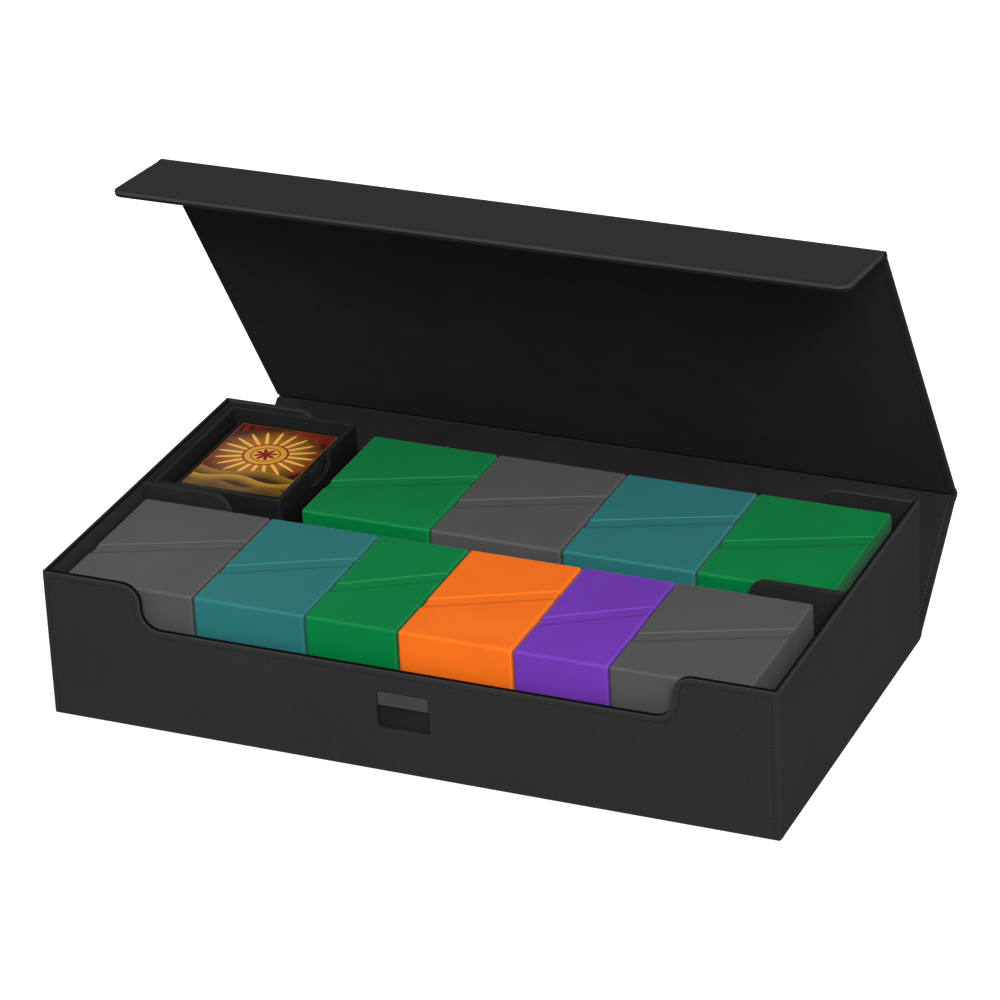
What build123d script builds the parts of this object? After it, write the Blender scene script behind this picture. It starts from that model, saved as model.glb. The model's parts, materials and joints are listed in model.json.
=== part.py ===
from build123d import *
from math import cos, radians, sin
import os

# A trading card box, in millimetres. +X runs along the front, +Y to the back and +Z up.
# The origin is at the centre of the underside of the base.

# Sleeved playing cards
card_width = 66.0
card_length = 91.0
card_thickness = 0.6
card_corner_radius = 3.0

# Deck cases: two hollow halves that meet in a slanted band
case_length_room = 9.0
case_height_room = 12.0
large_case_width = 77.8
medium_case_width = 65.6
small_case_width = 53.4
case_edge_radius = 1.8
case_least_radius = 0.6
case_cap_wall = 1.2
collar_wall = 0.9
collar_clearance = 0.15
collar_engagement = 10.0
band_length = 9.6
band_rise = 31.6
band_chamfer = 0.6
case_length = card_length + case_length_room
case_height = card_width + case_height_room
collar_inset = case_cap_wall + collar_clearance
case_box_wall = collar_inset + collar_wall

# Sheet materials of the base and cover
leatherette = 0.5
lining = 0.5
wall_board = 2.5
floor_board_thickness = 3.0
panel_board = 2.2
wall_thickness = leatherette + wall_board + lining
floor_thickness = leatherette + floor_board_thickness + lining
floor_board_top = leatherette + floor_board_thickness
divider_thickness = lining + wall_board + lining
panel_thickness = leatherette + panel_board + lining

# Card tray
tray_wall = 2.5
tray_floor_thickness = 2.5
tray_mat_thickness = 0.5
tray_side_gap = 3.2
tray_end_gap = 2.6
tray_headroom = 1.5
card_side_gap = 4.5
card_rear_gap = 1.4
card_sink = 7.1
notch_width = 28.0
notch_depth = 12.0
notch_radius = 8.0
notch_lip_radius = 3.0
tray_width = card_width + 2 * card_side_gap + 2 * tray_wall

# Two rows of cases inside the base
case_gap = 1.0
case_end_gap = 5.125
case_headroom = 6.0
front_start_gap = 4.8
front_end_gap = 15.6
tray_to_case_gap = 11.7
rear_end_gap = 9.9
front_widths = [
    large_case_width,
    medium_case_width,
    small_case_width,
    medium_case_width,
    small_case_width,
    large_case_width,
]
rear_widths = [large_case_width] * 4
rear_start_gap = tray_side_gap + tray_width + tray_to_case_gap
front_row_width = front_start_gap + sum(front_widths) + case_gap * (len(front_widths) - 1) + front_end_gap
rear_row_width = rear_start_gap + sum(rear_widths) + case_gap * (len(rear_widths) - 1) + rear_end_gap
inner_width = max(front_row_width, rear_row_width)
row_depth = case_length + 2 * case_end_gap
row_centre = (divider_thickness + row_depth) / 2

# Base
base_width = inner_width + 2 * wall_thickness
base_depth = divider_thickness + 2 * row_depth + 2 * wall_thickness
base_height = floor_thickness + case_height + case_headroom
base_corner_radius = 1.2
rim_radius = 0.8
shoulder_width = 58.7
cutout_depth = 26.0
shoulder_radius = 11.0
valley_radius = 11.0
tray_height = base_height - floor_thickness - tray_headroom
tray_depth = row_depth - 2 * tray_end_gap

# Faces of the base's boards and linings
board_width = base_width - 2 * leatherette
board_depth = base_depth - 2 * leatherette
board_face = board_depth / 2
lining_face = board_face - wall_board
inner_depth = base_depth - 2 * wall_thickness
side_board_face = board_width / 2
side_lining_face = side_board_face - wall_board
side_board_height = base_height - leatherette - floor_board_top
side_board_middle = floor_board_top + side_board_height / 2
valley_height = base_height - cutout_depth

# Cover: spine, lid and flap, folded open. Rest angles are measured upwards from +Y.
fold_gap = 0.4
table_gap = 0.2
flap_length = 62.4
flap_corner_radius = 7.0
panel_edge_radius = 0.8
lining_margin = 2.0
spine_rest_angle = 41.5
lid_rest_angle = 121.8
flap_rest_angle = 175.2
fold_room = panel_thickness + fold_gap
spine_hinge_height = panel_thickness + table_gap
spine_length = base_height + fold_gap + panel_thickness - spine_hinge_height
lid_length = base_depth + 2 * fold_gap + 2 * panel_thickness

# Closure and badge on the front wall
magnet_radius = 8.0
magnet_thickness = 1.4
magnet_spacing = 260.0
magnet_edge_distance = 13.0
magnet_clearance = 0.1
steel_disc_radius = 10.0
steel_disc_thickness = 1.0
badge_width = 30.0
badge_height = 8.6
badge_clearance = 0.15
badge_sink = 0.2
badge_corner_radius = 0.8
badge_chamfer = 0.3
recess_height = 12.8
recess_depth = 2.0
recess_corner_radius = 1.2
finger_lip = 2.0
closed_flap_edge = base_height + fold_gap + panel_thickness - flap_length
recess_bottom = closed_flap_edge - finger_lip
pocket_height = recess_height + badge_height
magnet_height = closed_flap_edge + magnet_edge_distance
magnet_distance = flap_length - magnet_edge_distance
magnet_places = [(-magnet_spacing / 2, magnet_distance), (magnet_spacing / 2, magnet_distance)]
steel_disc_places = [(-magnet_spacing / 2, magnet_height), (magnet_spacing / 2, magnet_height)]

# One overrun serves every through cut
overrun = 1.0

os.makedirs("parts", exist_ok=True)


def save(builder, label):
    """Label a finished piece and write it under the same name."""
    builder.part.label = label
    export_step(builder.part, f"parts/{label}.step")


def wall_outline(width, bottom, inset):
    """A long wall seen from the front: high shoulders, S-curves and a low middle."""
    half_width = width / 2
    cutout_half_width = base_width / 2 - shoulder_width + inset
    rim = base_height - inset
    valley = valley_height - inset
    with BuildSketch() as outline:
        with BuildLine():
            Polyline(
                (-half_width, bottom),
                (half_width, bottom),
                (half_width, rim),
                (cutout_half_width, rim),
                (cutout_half_width, valley),
                (-cutout_half_width, valley),
                (-cutout_half_width, rim),
                (-half_width, rim),
                close=True,
            )
        make_face()
        shoulder_corners = outline.vertices().group_by(Axis.Y)[-1].sort_by(Axis.X)[1:-1]
        fillet(shoulder_corners, radius=shoulder_radius - inset)
        valley_corners = outline.vertices().group_by(Axis.Y)[1]
        fillet(valley_corners, radius=valley_radius + inset)
    return outline.sketch


def front_pocket(margin):
    """The mouth of the badge and finger recess, grown by a margin on every side."""
    with BuildSketch() as mouth:
        with Locations((0, recess_bottom + pocket_height / 2)):
            RectangleRounded(
                badge_width + 2 * margin,
                pocket_height + 2 * margin,
                recess_corner_radius + margin,
            )
    return mouth.sketch


# Base: floor
with BuildPart() as bottom_cover:
    with BuildSketch():
        RectangleRounded(base_width, base_depth, base_corner_radius)
    extrude(amount=leatherette)
save(bottom_cover, "bottom_cover")

with BuildPart() as floor_board:
    with BuildSketch(Plane.XY.offset(leatherette)):
        Rectangle(board_width, board_depth)
    extrude(amount=floor_board_thickness)
save(floor_board, "floor_board")

with BuildPart() as floor_linings:
    with BuildSketch(Plane.XY.offset(floor_board_top)):
        with GridLocations(inner_width, 2 * row_centre, 1, 2):
            Rectangle(inner_width, row_depth)
    extrude(amount=lining)
save(floor_linings, "floor_linings")

# Base: the front and rear boards run the full width, and the side boards stand between them
with BuildPart() as front_wall_board:
    with BuildSketch(Plane.XZ.offset(board_face)):
        add(wall_outline(board_width, floor_board_top, leatherette))
    extrude(amount=-wall_board)
    with BuildSketch(Plane.XZ.offset(board_face)):
        add(front_pocket(leatherette))
    extrude(amount=-recess_depth, mode=Mode.SUBTRACT)
    with BuildSketch(Plane.XZ.offset(board_face)):
        with Locations(steel_disc_places):
            Circle(steel_disc_radius + magnet_clearance)
    extrude(amount=-steel_disc_thickness, mode=Mode.SUBTRACT)
save(front_wall_board, "front_wall_board")

with BuildPart() as wall_steel_discs:
    with BuildSketch(Plane.XZ.offset(board_face)):
        with Locations(steel_disc_places):
            Circle(steel_disc_radius)
    extrude(amount=-steel_disc_thickness)
save(wall_steel_discs, "wall_steel_discs")

with BuildPart() as rear_wall_board:
    with BuildSketch(Plane.XZ.offset(-board_face)):
        add(wall_outline(board_width, floor_board_top, leatherette))
    extrude(amount=wall_board)
save(rear_wall_board, "rear_wall_board")

for side, label in ((-1, "left_wall_board"), (1, "right_wall_board")):
    with BuildPart() as side_wall_board:
        with BuildSketch(Plane.YZ.offset(side * side_board_face)):
            with Locations((0, side_board_middle)):
                Rectangle(2 * lining_face, side_board_height)
        extrude(amount=-side * wall_board)
    save(side_wall_board, label)

# Base: linings on the inner faces, up to the underside of the rim
for side, label in ((-1, "rear_wall_lining"), (1, "front_wall_lining")):
    with BuildPart() as long_wall_lining:
        with BuildSketch(Plane.XZ.offset(side * lining_face)):
            add(wall_outline(2 * side_lining_face, floor_board_top, leatherette))
        extrude(amount=-side * lining)
    save(long_wall_lining, label)

for side, label in ((-1, "left_wall_lining"), (1, "right_wall_lining")):
    with BuildPart() as side_wall_lining:
        with BuildSketch(Plane.YZ.offset(side * side_lining_face)):
            with Locations((0, side_board_middle)):
                Rectangle(inner_depth, side_board_height)
        extrude(amount=-side * lining)
    save(side_wall_lining, label)

# Base: one leatherette wrap round the four walls, over the rim and into the finger recess
with BuildPart() as wrap_core:
    with BuildSketch(Plane.XZ):
        add(wall_outline(board_width, leatherette, leatherette))
    extrude(amount=board_face, both=True)
    with BuildSketch(Plane.XZ.offset(board_face)):
        add(front_pocket(leatherette))
    extrude(amount=-recess_depth, mode=Mode.SUBTRACT)

with BuildPart() as outer_wrap:
    with BuildSketch(Plane.XZ):
        add(wall_outline(base_width, leatherette, 0))
    extrude(amount=base_depth / 2, both=True)
    corner_edges = outer_wrap.edges().filter_by(Axis.Z).group_by(SortBy.LENGTH)[-1]
    fillet(corner_edges, radius=base_corner_radius)
    upper_edges = outer_wrap.edges().filter_by_position(Axis.Z, valley_height, base_height)
    inner_edges = upper_edges.filter_by_position(Axis.X, -inner_width / 2, inner_width / 2)
    cutout_seams = inner_edges.filter_by(Axis.Y)
    fillet(upper_edges - cutout_seams, radius=rim_radius)
    add(wrap_core.part, mode=Mode.SUBTRACT)
    with BuildSketch(Plane.XY):
        Rectangle(inner_width, inner_depth)
    extrude(amount=base_height + overrun, mode=Mode.SUBTRACT)
    with BuildSketch(Plane.XZ.offset(base_depth / 2)):
        add(front_pocket(0))
    extrude(amount=-recess_depth, mode=Mode.SUBTRACT)
save(outer_wrap, "outer_wrap")

with BuildPart() as badge_plate:
    with BuildSketch(Plane.XZ.offset(base_depth / 2 - recess_depth)):
        with Locations((0, recess_bottom + recess_height + badge_height / 2)):
            RectangleRounded(
                badge_width - 2 * badge_clearance,
                badge_height - 2 * badge_clearance,
                badge_corner_radius,
            )
    extrude(amount=recess_depth - badge_sink)
    chamfer(badge_plate.faces().sort_by(Axis.Y)[0].edges(), length=badge_chamfer)
save(badge_plate, "badge_plate")

# Base: divider between the two rows, a board in a folded lining
with BuildPart() as divider_board:
    with BuildSketch(Plane.XZ):
        add(wall_outline(inner_width, floor_board_top, lining))
    extrude(amount=wall_board / 2, both=True)
save(divider_board, "divider_board")

with BuildPart() as divider_wrap:
    with BuildSketch(Plane.XZ):
        add(wall_outline(inner_width, floor_board_top, 0))
    extrude(amount=divider_thickness / 2, both=True)
    add(divider_board.part, mode=Mode.SUBTRACT)
save(divider_wrap, "divider_wrap")


# Cover: a panel lies in a plane whose X runs along the box, Y along the panel and Z inwards
def panel_plane(hinge, angle):
    """The outer face of a panel that starts at a hinge line (y, z) and rises at an angle."""
    turn = radians(angle)
    return Plane(origin=(0, *hinge), x_dir=(1, 0, 0), z_dir=(0, -sin(turn), cos(turn)))


def along(hinge, angle, distance, height):
    """The point (y, z) at a distance along a panel and a height above its outer face."""
    turn = radians(angle)
    return (
        hinge[0] + distance * cos(turn) - height * sin(turn),
        hinge[1] + distance * sin(turn) + height * cos(turn),
    )


def panel_outline(start, end, inset, corner_radius):
    """A panel between two distances from its hinge line, with its far corners rounded."""
    with BuildSketch() as outline:
        with Locations((0, (start + end) / 2)):
            Rectangle(base_width - 2 * inset, end - start - 2 * inset)
        if corner_radius > inset:
            fillet(outline.vertices().group_by(Axis.Y)[-1], radius=corner_radius - inset)
    return outline.sketch


def save_panel(name, plane, start, end, corner_radius, pockets):
    """Cover, board and lining of one panel. Pockets in the board are (x, y) places."""
    inner_face = leatherette + panel_board
    with BuildPart() as panel_cover:
        with BuildSketch(plane):
            add(panel_outline(start, end, 0, corner_radius))
        extrude(amount=panel_thickness)
        faces = panel_cover.faces().filter_by(plane)
        edges = faces.edges()
        soft_edges = edges.filter_by(Axis.X, reverse=True)
        if corner_radius:
            soft_edges += edges.filter_by(Axis.X).group_by(Axis(plane.origin, plane.y_dir))[-1]
        fillet(soft_edges, radius=panel_edge_radius)
        with BuildSketch(plane.offset(leatherette)):
            add(panel_outline(start, end, leatherette, corner_radius))
        extrude(amount=panel_board, mode=Mode.SUBTRACT)
        with BuildSketch(plane.offset(inner_face)):
            add(panel_outline(start, end, lining_margin, corner_radius))
        extrude(amount=lining + overrun, mode=Mode.SUBTRACT)
    save(panel_cover, f"{name}_cover")

    with BuildPart() as panel_core:
        with BuildSketch(plane.offset(leatherette)):
            add(panel_outline(start, end, leatherette, corner_radius))
        extrude(amount=panel_board)
        if pockets:
            with BuildSketch(plane.offset(inner_face)):
                with Locations(pockets):
                    Circle(magnet_radius + magnet_clearance)
            extrude(amount=-magnet_thickness, mode=Mode.SUBTRACT)
    save(panel_core, f"{name}_board")

    with BuildPart() as panel_lining:
        with BuildSketch(plane.offset(inner_face)):
            add(panel_outline(start, end, lining_margin, corner_radius))
        extrude(amount=lining)
    save(panel_lining, f"{name}_lining")


# The spine turns about its inner lower edge, so that it lies flat on the table when it is open
spine_hinge = (base_depth / 2 + fold_gap, spine_hinge_height)
spine_start = along(spine_hinge, spine_rest_angle, 0, -panel_thickness)
lid_hinge = along(spine_start, spine_rest_angle, spine_length, 0)
flap_hinge = along(lid_hinge, lid_rest_angle, lid_length, 0)
spine_plane = panel_plane(spine_start, spine_rest_angle)
lid_plane = panel_plane(lid_hinge, lid_rest_angle)
flap_plane = panel_plane(flap_hinge, flap_rest_angle)

save_panel("spine", spine_plane, fold_gap, spine_length - fold_room, 0, [])
save_panel("lid", lid_plane, fold_room, lid_length - fold_room, 0, [])
save_panel("flap", flap_plane, fold_room, flap_length, flap_corner_radius, magnet_places)

with BuildPart() as flap_magnets:
    with BuildSketch(flap_plane.offset(leatherette + panel_board)):
        with Locations(magnet_places):
            Circle(magnet_radius)
    extrude(amount=-magnet_thickness)
save(flap_magnets, "flap_magnets")


# Cover: leatherette strips that bend at the three fold lines
def save_strip(label, outline_points):
    """A strip as wide as the cover, from the corners (y, z) of its section."""
    with BuildPart() as strip:
        with BuildSketch(Plane.YZ):
            with BuildLine():
                Polyline(*outline_points, close=True)
            make_face()
        extrude(amount=base_width / 2, both=True)
    save(strip, label)


def fold_points(hinge, before_angle, after_angle):
    """Section of a strip bent at a hinge line, from one panel's edge to the next one's."""
    half_turn = radians((after_angle - before_angle) / 2)
    middle_angle = (before_angle + after_angle) / 2
    return [
        along(hinge, before_angle, -fold_room, 0),
        hinge,
        along(hinge, after_angle, fold_room, 0),
        along(hinge, after_angle, fold_room, leatherette),
        along(hinge, middle_angle, 0, leatherette / cos(half_turn)),
        along(hinge, before_angle, -fold_room, leatherette),
    ]


save_strip(
    "spine_hinge_strip",
    [
        (base_depth / 2, 0),
        along(spine_start, spine_rest_angle, fold_gap, 0),
        along(spine_start, spine_rest_angle, fold_gap, leatherette),
        (base_depth / 2, leatherette),
    ],
)
save_strip("lid_hinge_strip", fold_points(lid_hinge, spine_rest_angle, lid_rest_angle))
save_strip("flap_hinge_strip", fold_points(flap_hinge, lid_rest_angle, flap_rest_angle))

# Card tray in the rear left corner, with a thumb notch in its right wall
tray_left = -inner_width / 2 + tray_side_gap
tray_middle = tray_left + tray_width / 2
tray_rim = floor_thickness + tray_height
tray_inner_width = tray_width - 2 * tray_wall
tray_inner_depth = tray_depth - 2 * tray_wall
tray_wall_middle = floor_thickness + tray_height / 2


def notched_outline(width, height):
    """A wall that stands on the origin, with a round-cornered notch in its rim."""
    half_width = width / 2
    half_notch = notch_width / 2
    notch_bottom = height - notch_depth
    with BuildSketch() as outline:
        with BuildLine():
            Polyline(
                (-half_width, 0),
                (half_width, 0),
                (half_width, height),
                (half_notch, height),
                (half_notch, notch_bottom),
                (-half_notch, notch_bottom),
                (-half_notch, height),
                (-half_width, height),
                close=True,
            )
        make_face()
        lip_corners = outline.vertices().group_by(Axis.Y)[-1].sort_by(Axis.X)[1:-1]
        fillet(lip_corners, radius=notch_lip_radius)
        notch_corners = outline.vertices().group_by(Axis.Y)[1]
        fillet(notch_corners, radius=notch_radius)
    return outline.sketch


for side, label in ((-1, "tray_front_wall"), (1, "tray_rear_wall")):
    with BuildPart() as tray_end_wall:
        with BuildSketch(Plane.XZ.offset(-row_centre - side * tray_depth / 2)):
            with Locations((tray_middle, tray_wall_middle)):
                Rectangle(tray_width, tray_height)
        extrude(amount=side * tray_wall)
    save(tray_end_wall, label)

with BuildPart() as tray_left_wall:
    with BuildSketch(Plane.YZ.offset(tray_left)):
        with Locations((row_centre, tray_wall_middle)):
            Rectangle(tray_inner_depth, tray_height)
    extrude(amount=tray_wall)
save(tray_left_wall, "tray_left_wall")

with BuildPart() as tray_right_wall:
    with BuildSketch(Plane.YZ.offset(tray_left + tray_width)):
        with Locations((row_centre, floor_thickness)):
            add(notched_outline(tray_inner_depth, tray_height))
    extrude(amount=-tray_wall)
save(tray_right_wall, "tray_right_wall")

with BuildPart() as tray_floor:
    with BuildSketch(Plane.XY.offset(floor_thickness)):
        with Locations((tray_middle, row_centre)):
            Rectangle(tray_inner_width, tray_inner_depth)
    extrude(amount=tray_floor_thickness)
save(tray_floor, "tray_floor")

with BuildPart() as tray_mat:
    with BuildSketch(Plane.XY.offset(floor_thickness + tray_floor_thickness)):
        with Locations((tray_middle, row_centre)):
            Rectangle(tray_inner_width, tray_inner_depth)
    extrude(amount=tray_mat_thickness)
save(tray_mat, "tray_mat")

# Sleeved cards lying in the tray, the top one apart
card_middle = row_centre + tray_inner_depth / 2 - card_rear_gap - card_length / 2
stack_bottom = floor_thickness + tray_floor_thickness + tray_mat_thickness
stack_top = tray_rim - card_sink - card_thickness

with BuildPart() as card_stack:
    with BuildSketch(Plane.XY.offset(stack_bottom)):
        with Locations((tray_middle, card_middle)):
            RectangleRounded(card_width, card_length, card_corner_radius)
    extrude(amount=stack_top - stack_bottom)
save(card_stack, "card_stack")

with BuildPart() as top_card:
    with BuildSketch(Plane.XY.offset(stack_top)):
        with Locations((tray_middle, card_middle)):
            RectangleRounded(card_width, card_length, card_corner_radius)
    extrude(amount=card_thickness)
save(top_card, "top_card")


# Deck cases
def case_block(width, inset):
    """A case's rounded block, or the block inside one of its walls."""
    with BuildPart() as block:
        Box(width - 2 * inset, case_length - 2 * inset, case_height - 2 * inset)
        fillet(block.edges(), radius=max(case_edge_radius - inset, case_least_radius))
    return block.part


def slanted_plane(width, distance):
    """An upright plane along the slanted band, a distance behind the case's middle."""
    return Plane(origin=(0, distance, 0), x_dir=(width, band_rise, 0), z_dir=(-band_rise, width, 0))


def case_halves(width):
    """The box with its collar and the cap that slips over it, round the case's middle."""
    front_edge = slanted_plane(width, -band_length / 2)
    rear_edge = slanted_plane(width, band_length / 2)
    collar_end = slanted_plane(width, band_length / 2 + collar_engagement)

    with BuildPart() as collar:
        add(case_block(width, collar_inset))
        split(bisect_by=collar_end, keep=Keep.BOTTOM)

    with BuildPart() as case_box:
        add(case_block(width, 0))
        split(bisect_by=front_edge, keep=Keep.BOTTOM)
        band_face = case_box.faces().sort_by(Axis(front_edge.origin, front_edge.z_dir))[-1]
        chamfer(band_face.edges(), length=band_chamfer)
        add(collar.part)
        add(case_block(width, case_box_wall), mode=Mode.SUBTRACT)

    with BuildPart() as case_cap:
        add(case_block(width, 0))
        split(bisect_by=rear_edge, keep=Keep.TOP)
        band_face = case_cap.faces().sort_by(Axis(rear_edge.origin, rear_edge.z_dir))[0]
        chamfer(band_face.edges(), length=band_chamfer)
        add(case_block(width, case_cap_wall), mode=Mode.SUBTRACT)

    return case_box.part, case_cap.part


halves = {width: case_halves(width) for width in set(front_widths + rear_widths)}
rows = (
    ("front", -row_centre, front_start_gap, front_widths),
    ("rear", row_centre, rear_start_gap, rear_widths),
)
for row, case_middle, start_gap, widths in rows:
    left = -inner_width / 2 + start_gap
    for number, width in enumerate(widths, start=1):
        place = (left + width / 2, case_middle, floor_thickness + case_height / 2)
        for half, suffix in zip(halves[width], ("box", "cap")):
            with BuildPart() as case_half:
                with Locations(place):
                    add(half)
            save(case_half, f"{row}_case_{number}_{suffix}")
        left += width + case_gap
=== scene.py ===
# A trading card box in black leatherette, standing open, with its deck cases, card tray and cards.
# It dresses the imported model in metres: +X along the front, +Y to the back, +Z up.
import json
import random
from collections import namedtuple
from math import cos, pi, radians, sin, tan

import bmesh
import bpy
from bpy.props import FloatProperty, FloatVectorProperty, PointerProperty
from mathutils import Matrix, Vector

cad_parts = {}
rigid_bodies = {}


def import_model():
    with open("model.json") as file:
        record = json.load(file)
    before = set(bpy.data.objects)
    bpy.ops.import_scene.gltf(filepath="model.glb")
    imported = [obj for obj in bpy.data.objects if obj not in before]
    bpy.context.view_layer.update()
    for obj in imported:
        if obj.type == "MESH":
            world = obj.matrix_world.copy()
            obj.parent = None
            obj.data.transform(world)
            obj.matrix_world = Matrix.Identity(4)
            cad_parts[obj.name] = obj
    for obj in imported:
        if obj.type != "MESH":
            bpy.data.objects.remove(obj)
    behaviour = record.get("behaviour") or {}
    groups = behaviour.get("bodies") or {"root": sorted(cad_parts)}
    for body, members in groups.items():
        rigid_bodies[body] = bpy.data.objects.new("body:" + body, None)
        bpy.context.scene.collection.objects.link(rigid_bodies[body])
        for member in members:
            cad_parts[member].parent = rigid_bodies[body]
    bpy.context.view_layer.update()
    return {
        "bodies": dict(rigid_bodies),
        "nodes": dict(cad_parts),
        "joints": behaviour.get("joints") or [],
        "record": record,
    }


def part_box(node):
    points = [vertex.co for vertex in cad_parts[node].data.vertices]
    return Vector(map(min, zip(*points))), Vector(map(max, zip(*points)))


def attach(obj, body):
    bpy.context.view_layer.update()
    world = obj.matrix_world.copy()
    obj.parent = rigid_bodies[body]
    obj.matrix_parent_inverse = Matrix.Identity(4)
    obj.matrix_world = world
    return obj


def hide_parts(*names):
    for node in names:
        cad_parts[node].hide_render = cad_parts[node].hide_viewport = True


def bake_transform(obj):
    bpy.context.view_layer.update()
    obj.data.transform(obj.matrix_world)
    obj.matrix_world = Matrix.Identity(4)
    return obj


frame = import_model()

bl_info = {
    "name": "Trading Card Box",
    "version": (1, 0, 0),
    "blender": (4, 5, 0),
    "location": "View3D > Sidebar > Card Box",
    "description": "Dresses a folding card box with its deck cases, tray and cards",
    "category": "Object",
}

UP = Vector((0, 0, 1))
ALONG_X = Vector((1, 0, 0))
ALONG_Y = Vector((0, 1, 0))
MERGE_DISTANCE = 1e-6
SMOOTH_ANGLE = radians(38)
SENSOR_WIDTH_MM = 36.0
CARD_SEED = 7

# Walls of an open box, in the order that WallRing takes them
FRONT_WALL = 0
REAR_WALL = 2

# Numbers of the second and third finishes on the pieces that have them
RECESS_SHADE_FINISH = 1
RIM_LINING_AND_SHADE_FINISH = 2
UNDER_EDGE_SHADE_FINISH = 1
GROOVE_SHADE_FINISH = 2
TRAY_RIM_FINISH = 1

# Names of the effects that finishes share
GRAIN = "Leather grain"
NAP = "Brushed nap"
MOULDED = "Moulded skin"

CASE_FINISHES = {
    "case_grey": "Grey case",
    "case_green": "Green case",
    "case_teal": "Teal case",
    "case_orange": "Orange case",
    "case_purple": "Purple case",
}
SLOT_OF_NODE = {part["node"]: part["material_slot"] for part in frame["record"]["subparts"]}
JOINTS = {joint["name"]: joint for joint in frame["joints"]}


# Properties

def length(name, description, default):
    """A size in metres."""
    return FloatProperty(
        name=name, description=description, default=default, min=0.0, precision=5, unit="LENGTH"
    )


def colour(name, description, default):
    """A linear colour."""
    return FloatVectorProperty(
        name=name, description=description, default=default, size=3, min=0.0, max=1.0, subtype="COLOR"
    )


def turn(name, description, default):
    """An angle, given in degrees and kept in radians."""
    return FloatProperty(
        name=name, description=description, default=radians(default), subtype="ANGLE"
    )


def strength(name, description, default):
    """How strong a light is."""
    return FloatProperty(name=name, description=description, default=default, min=0.0)


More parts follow.
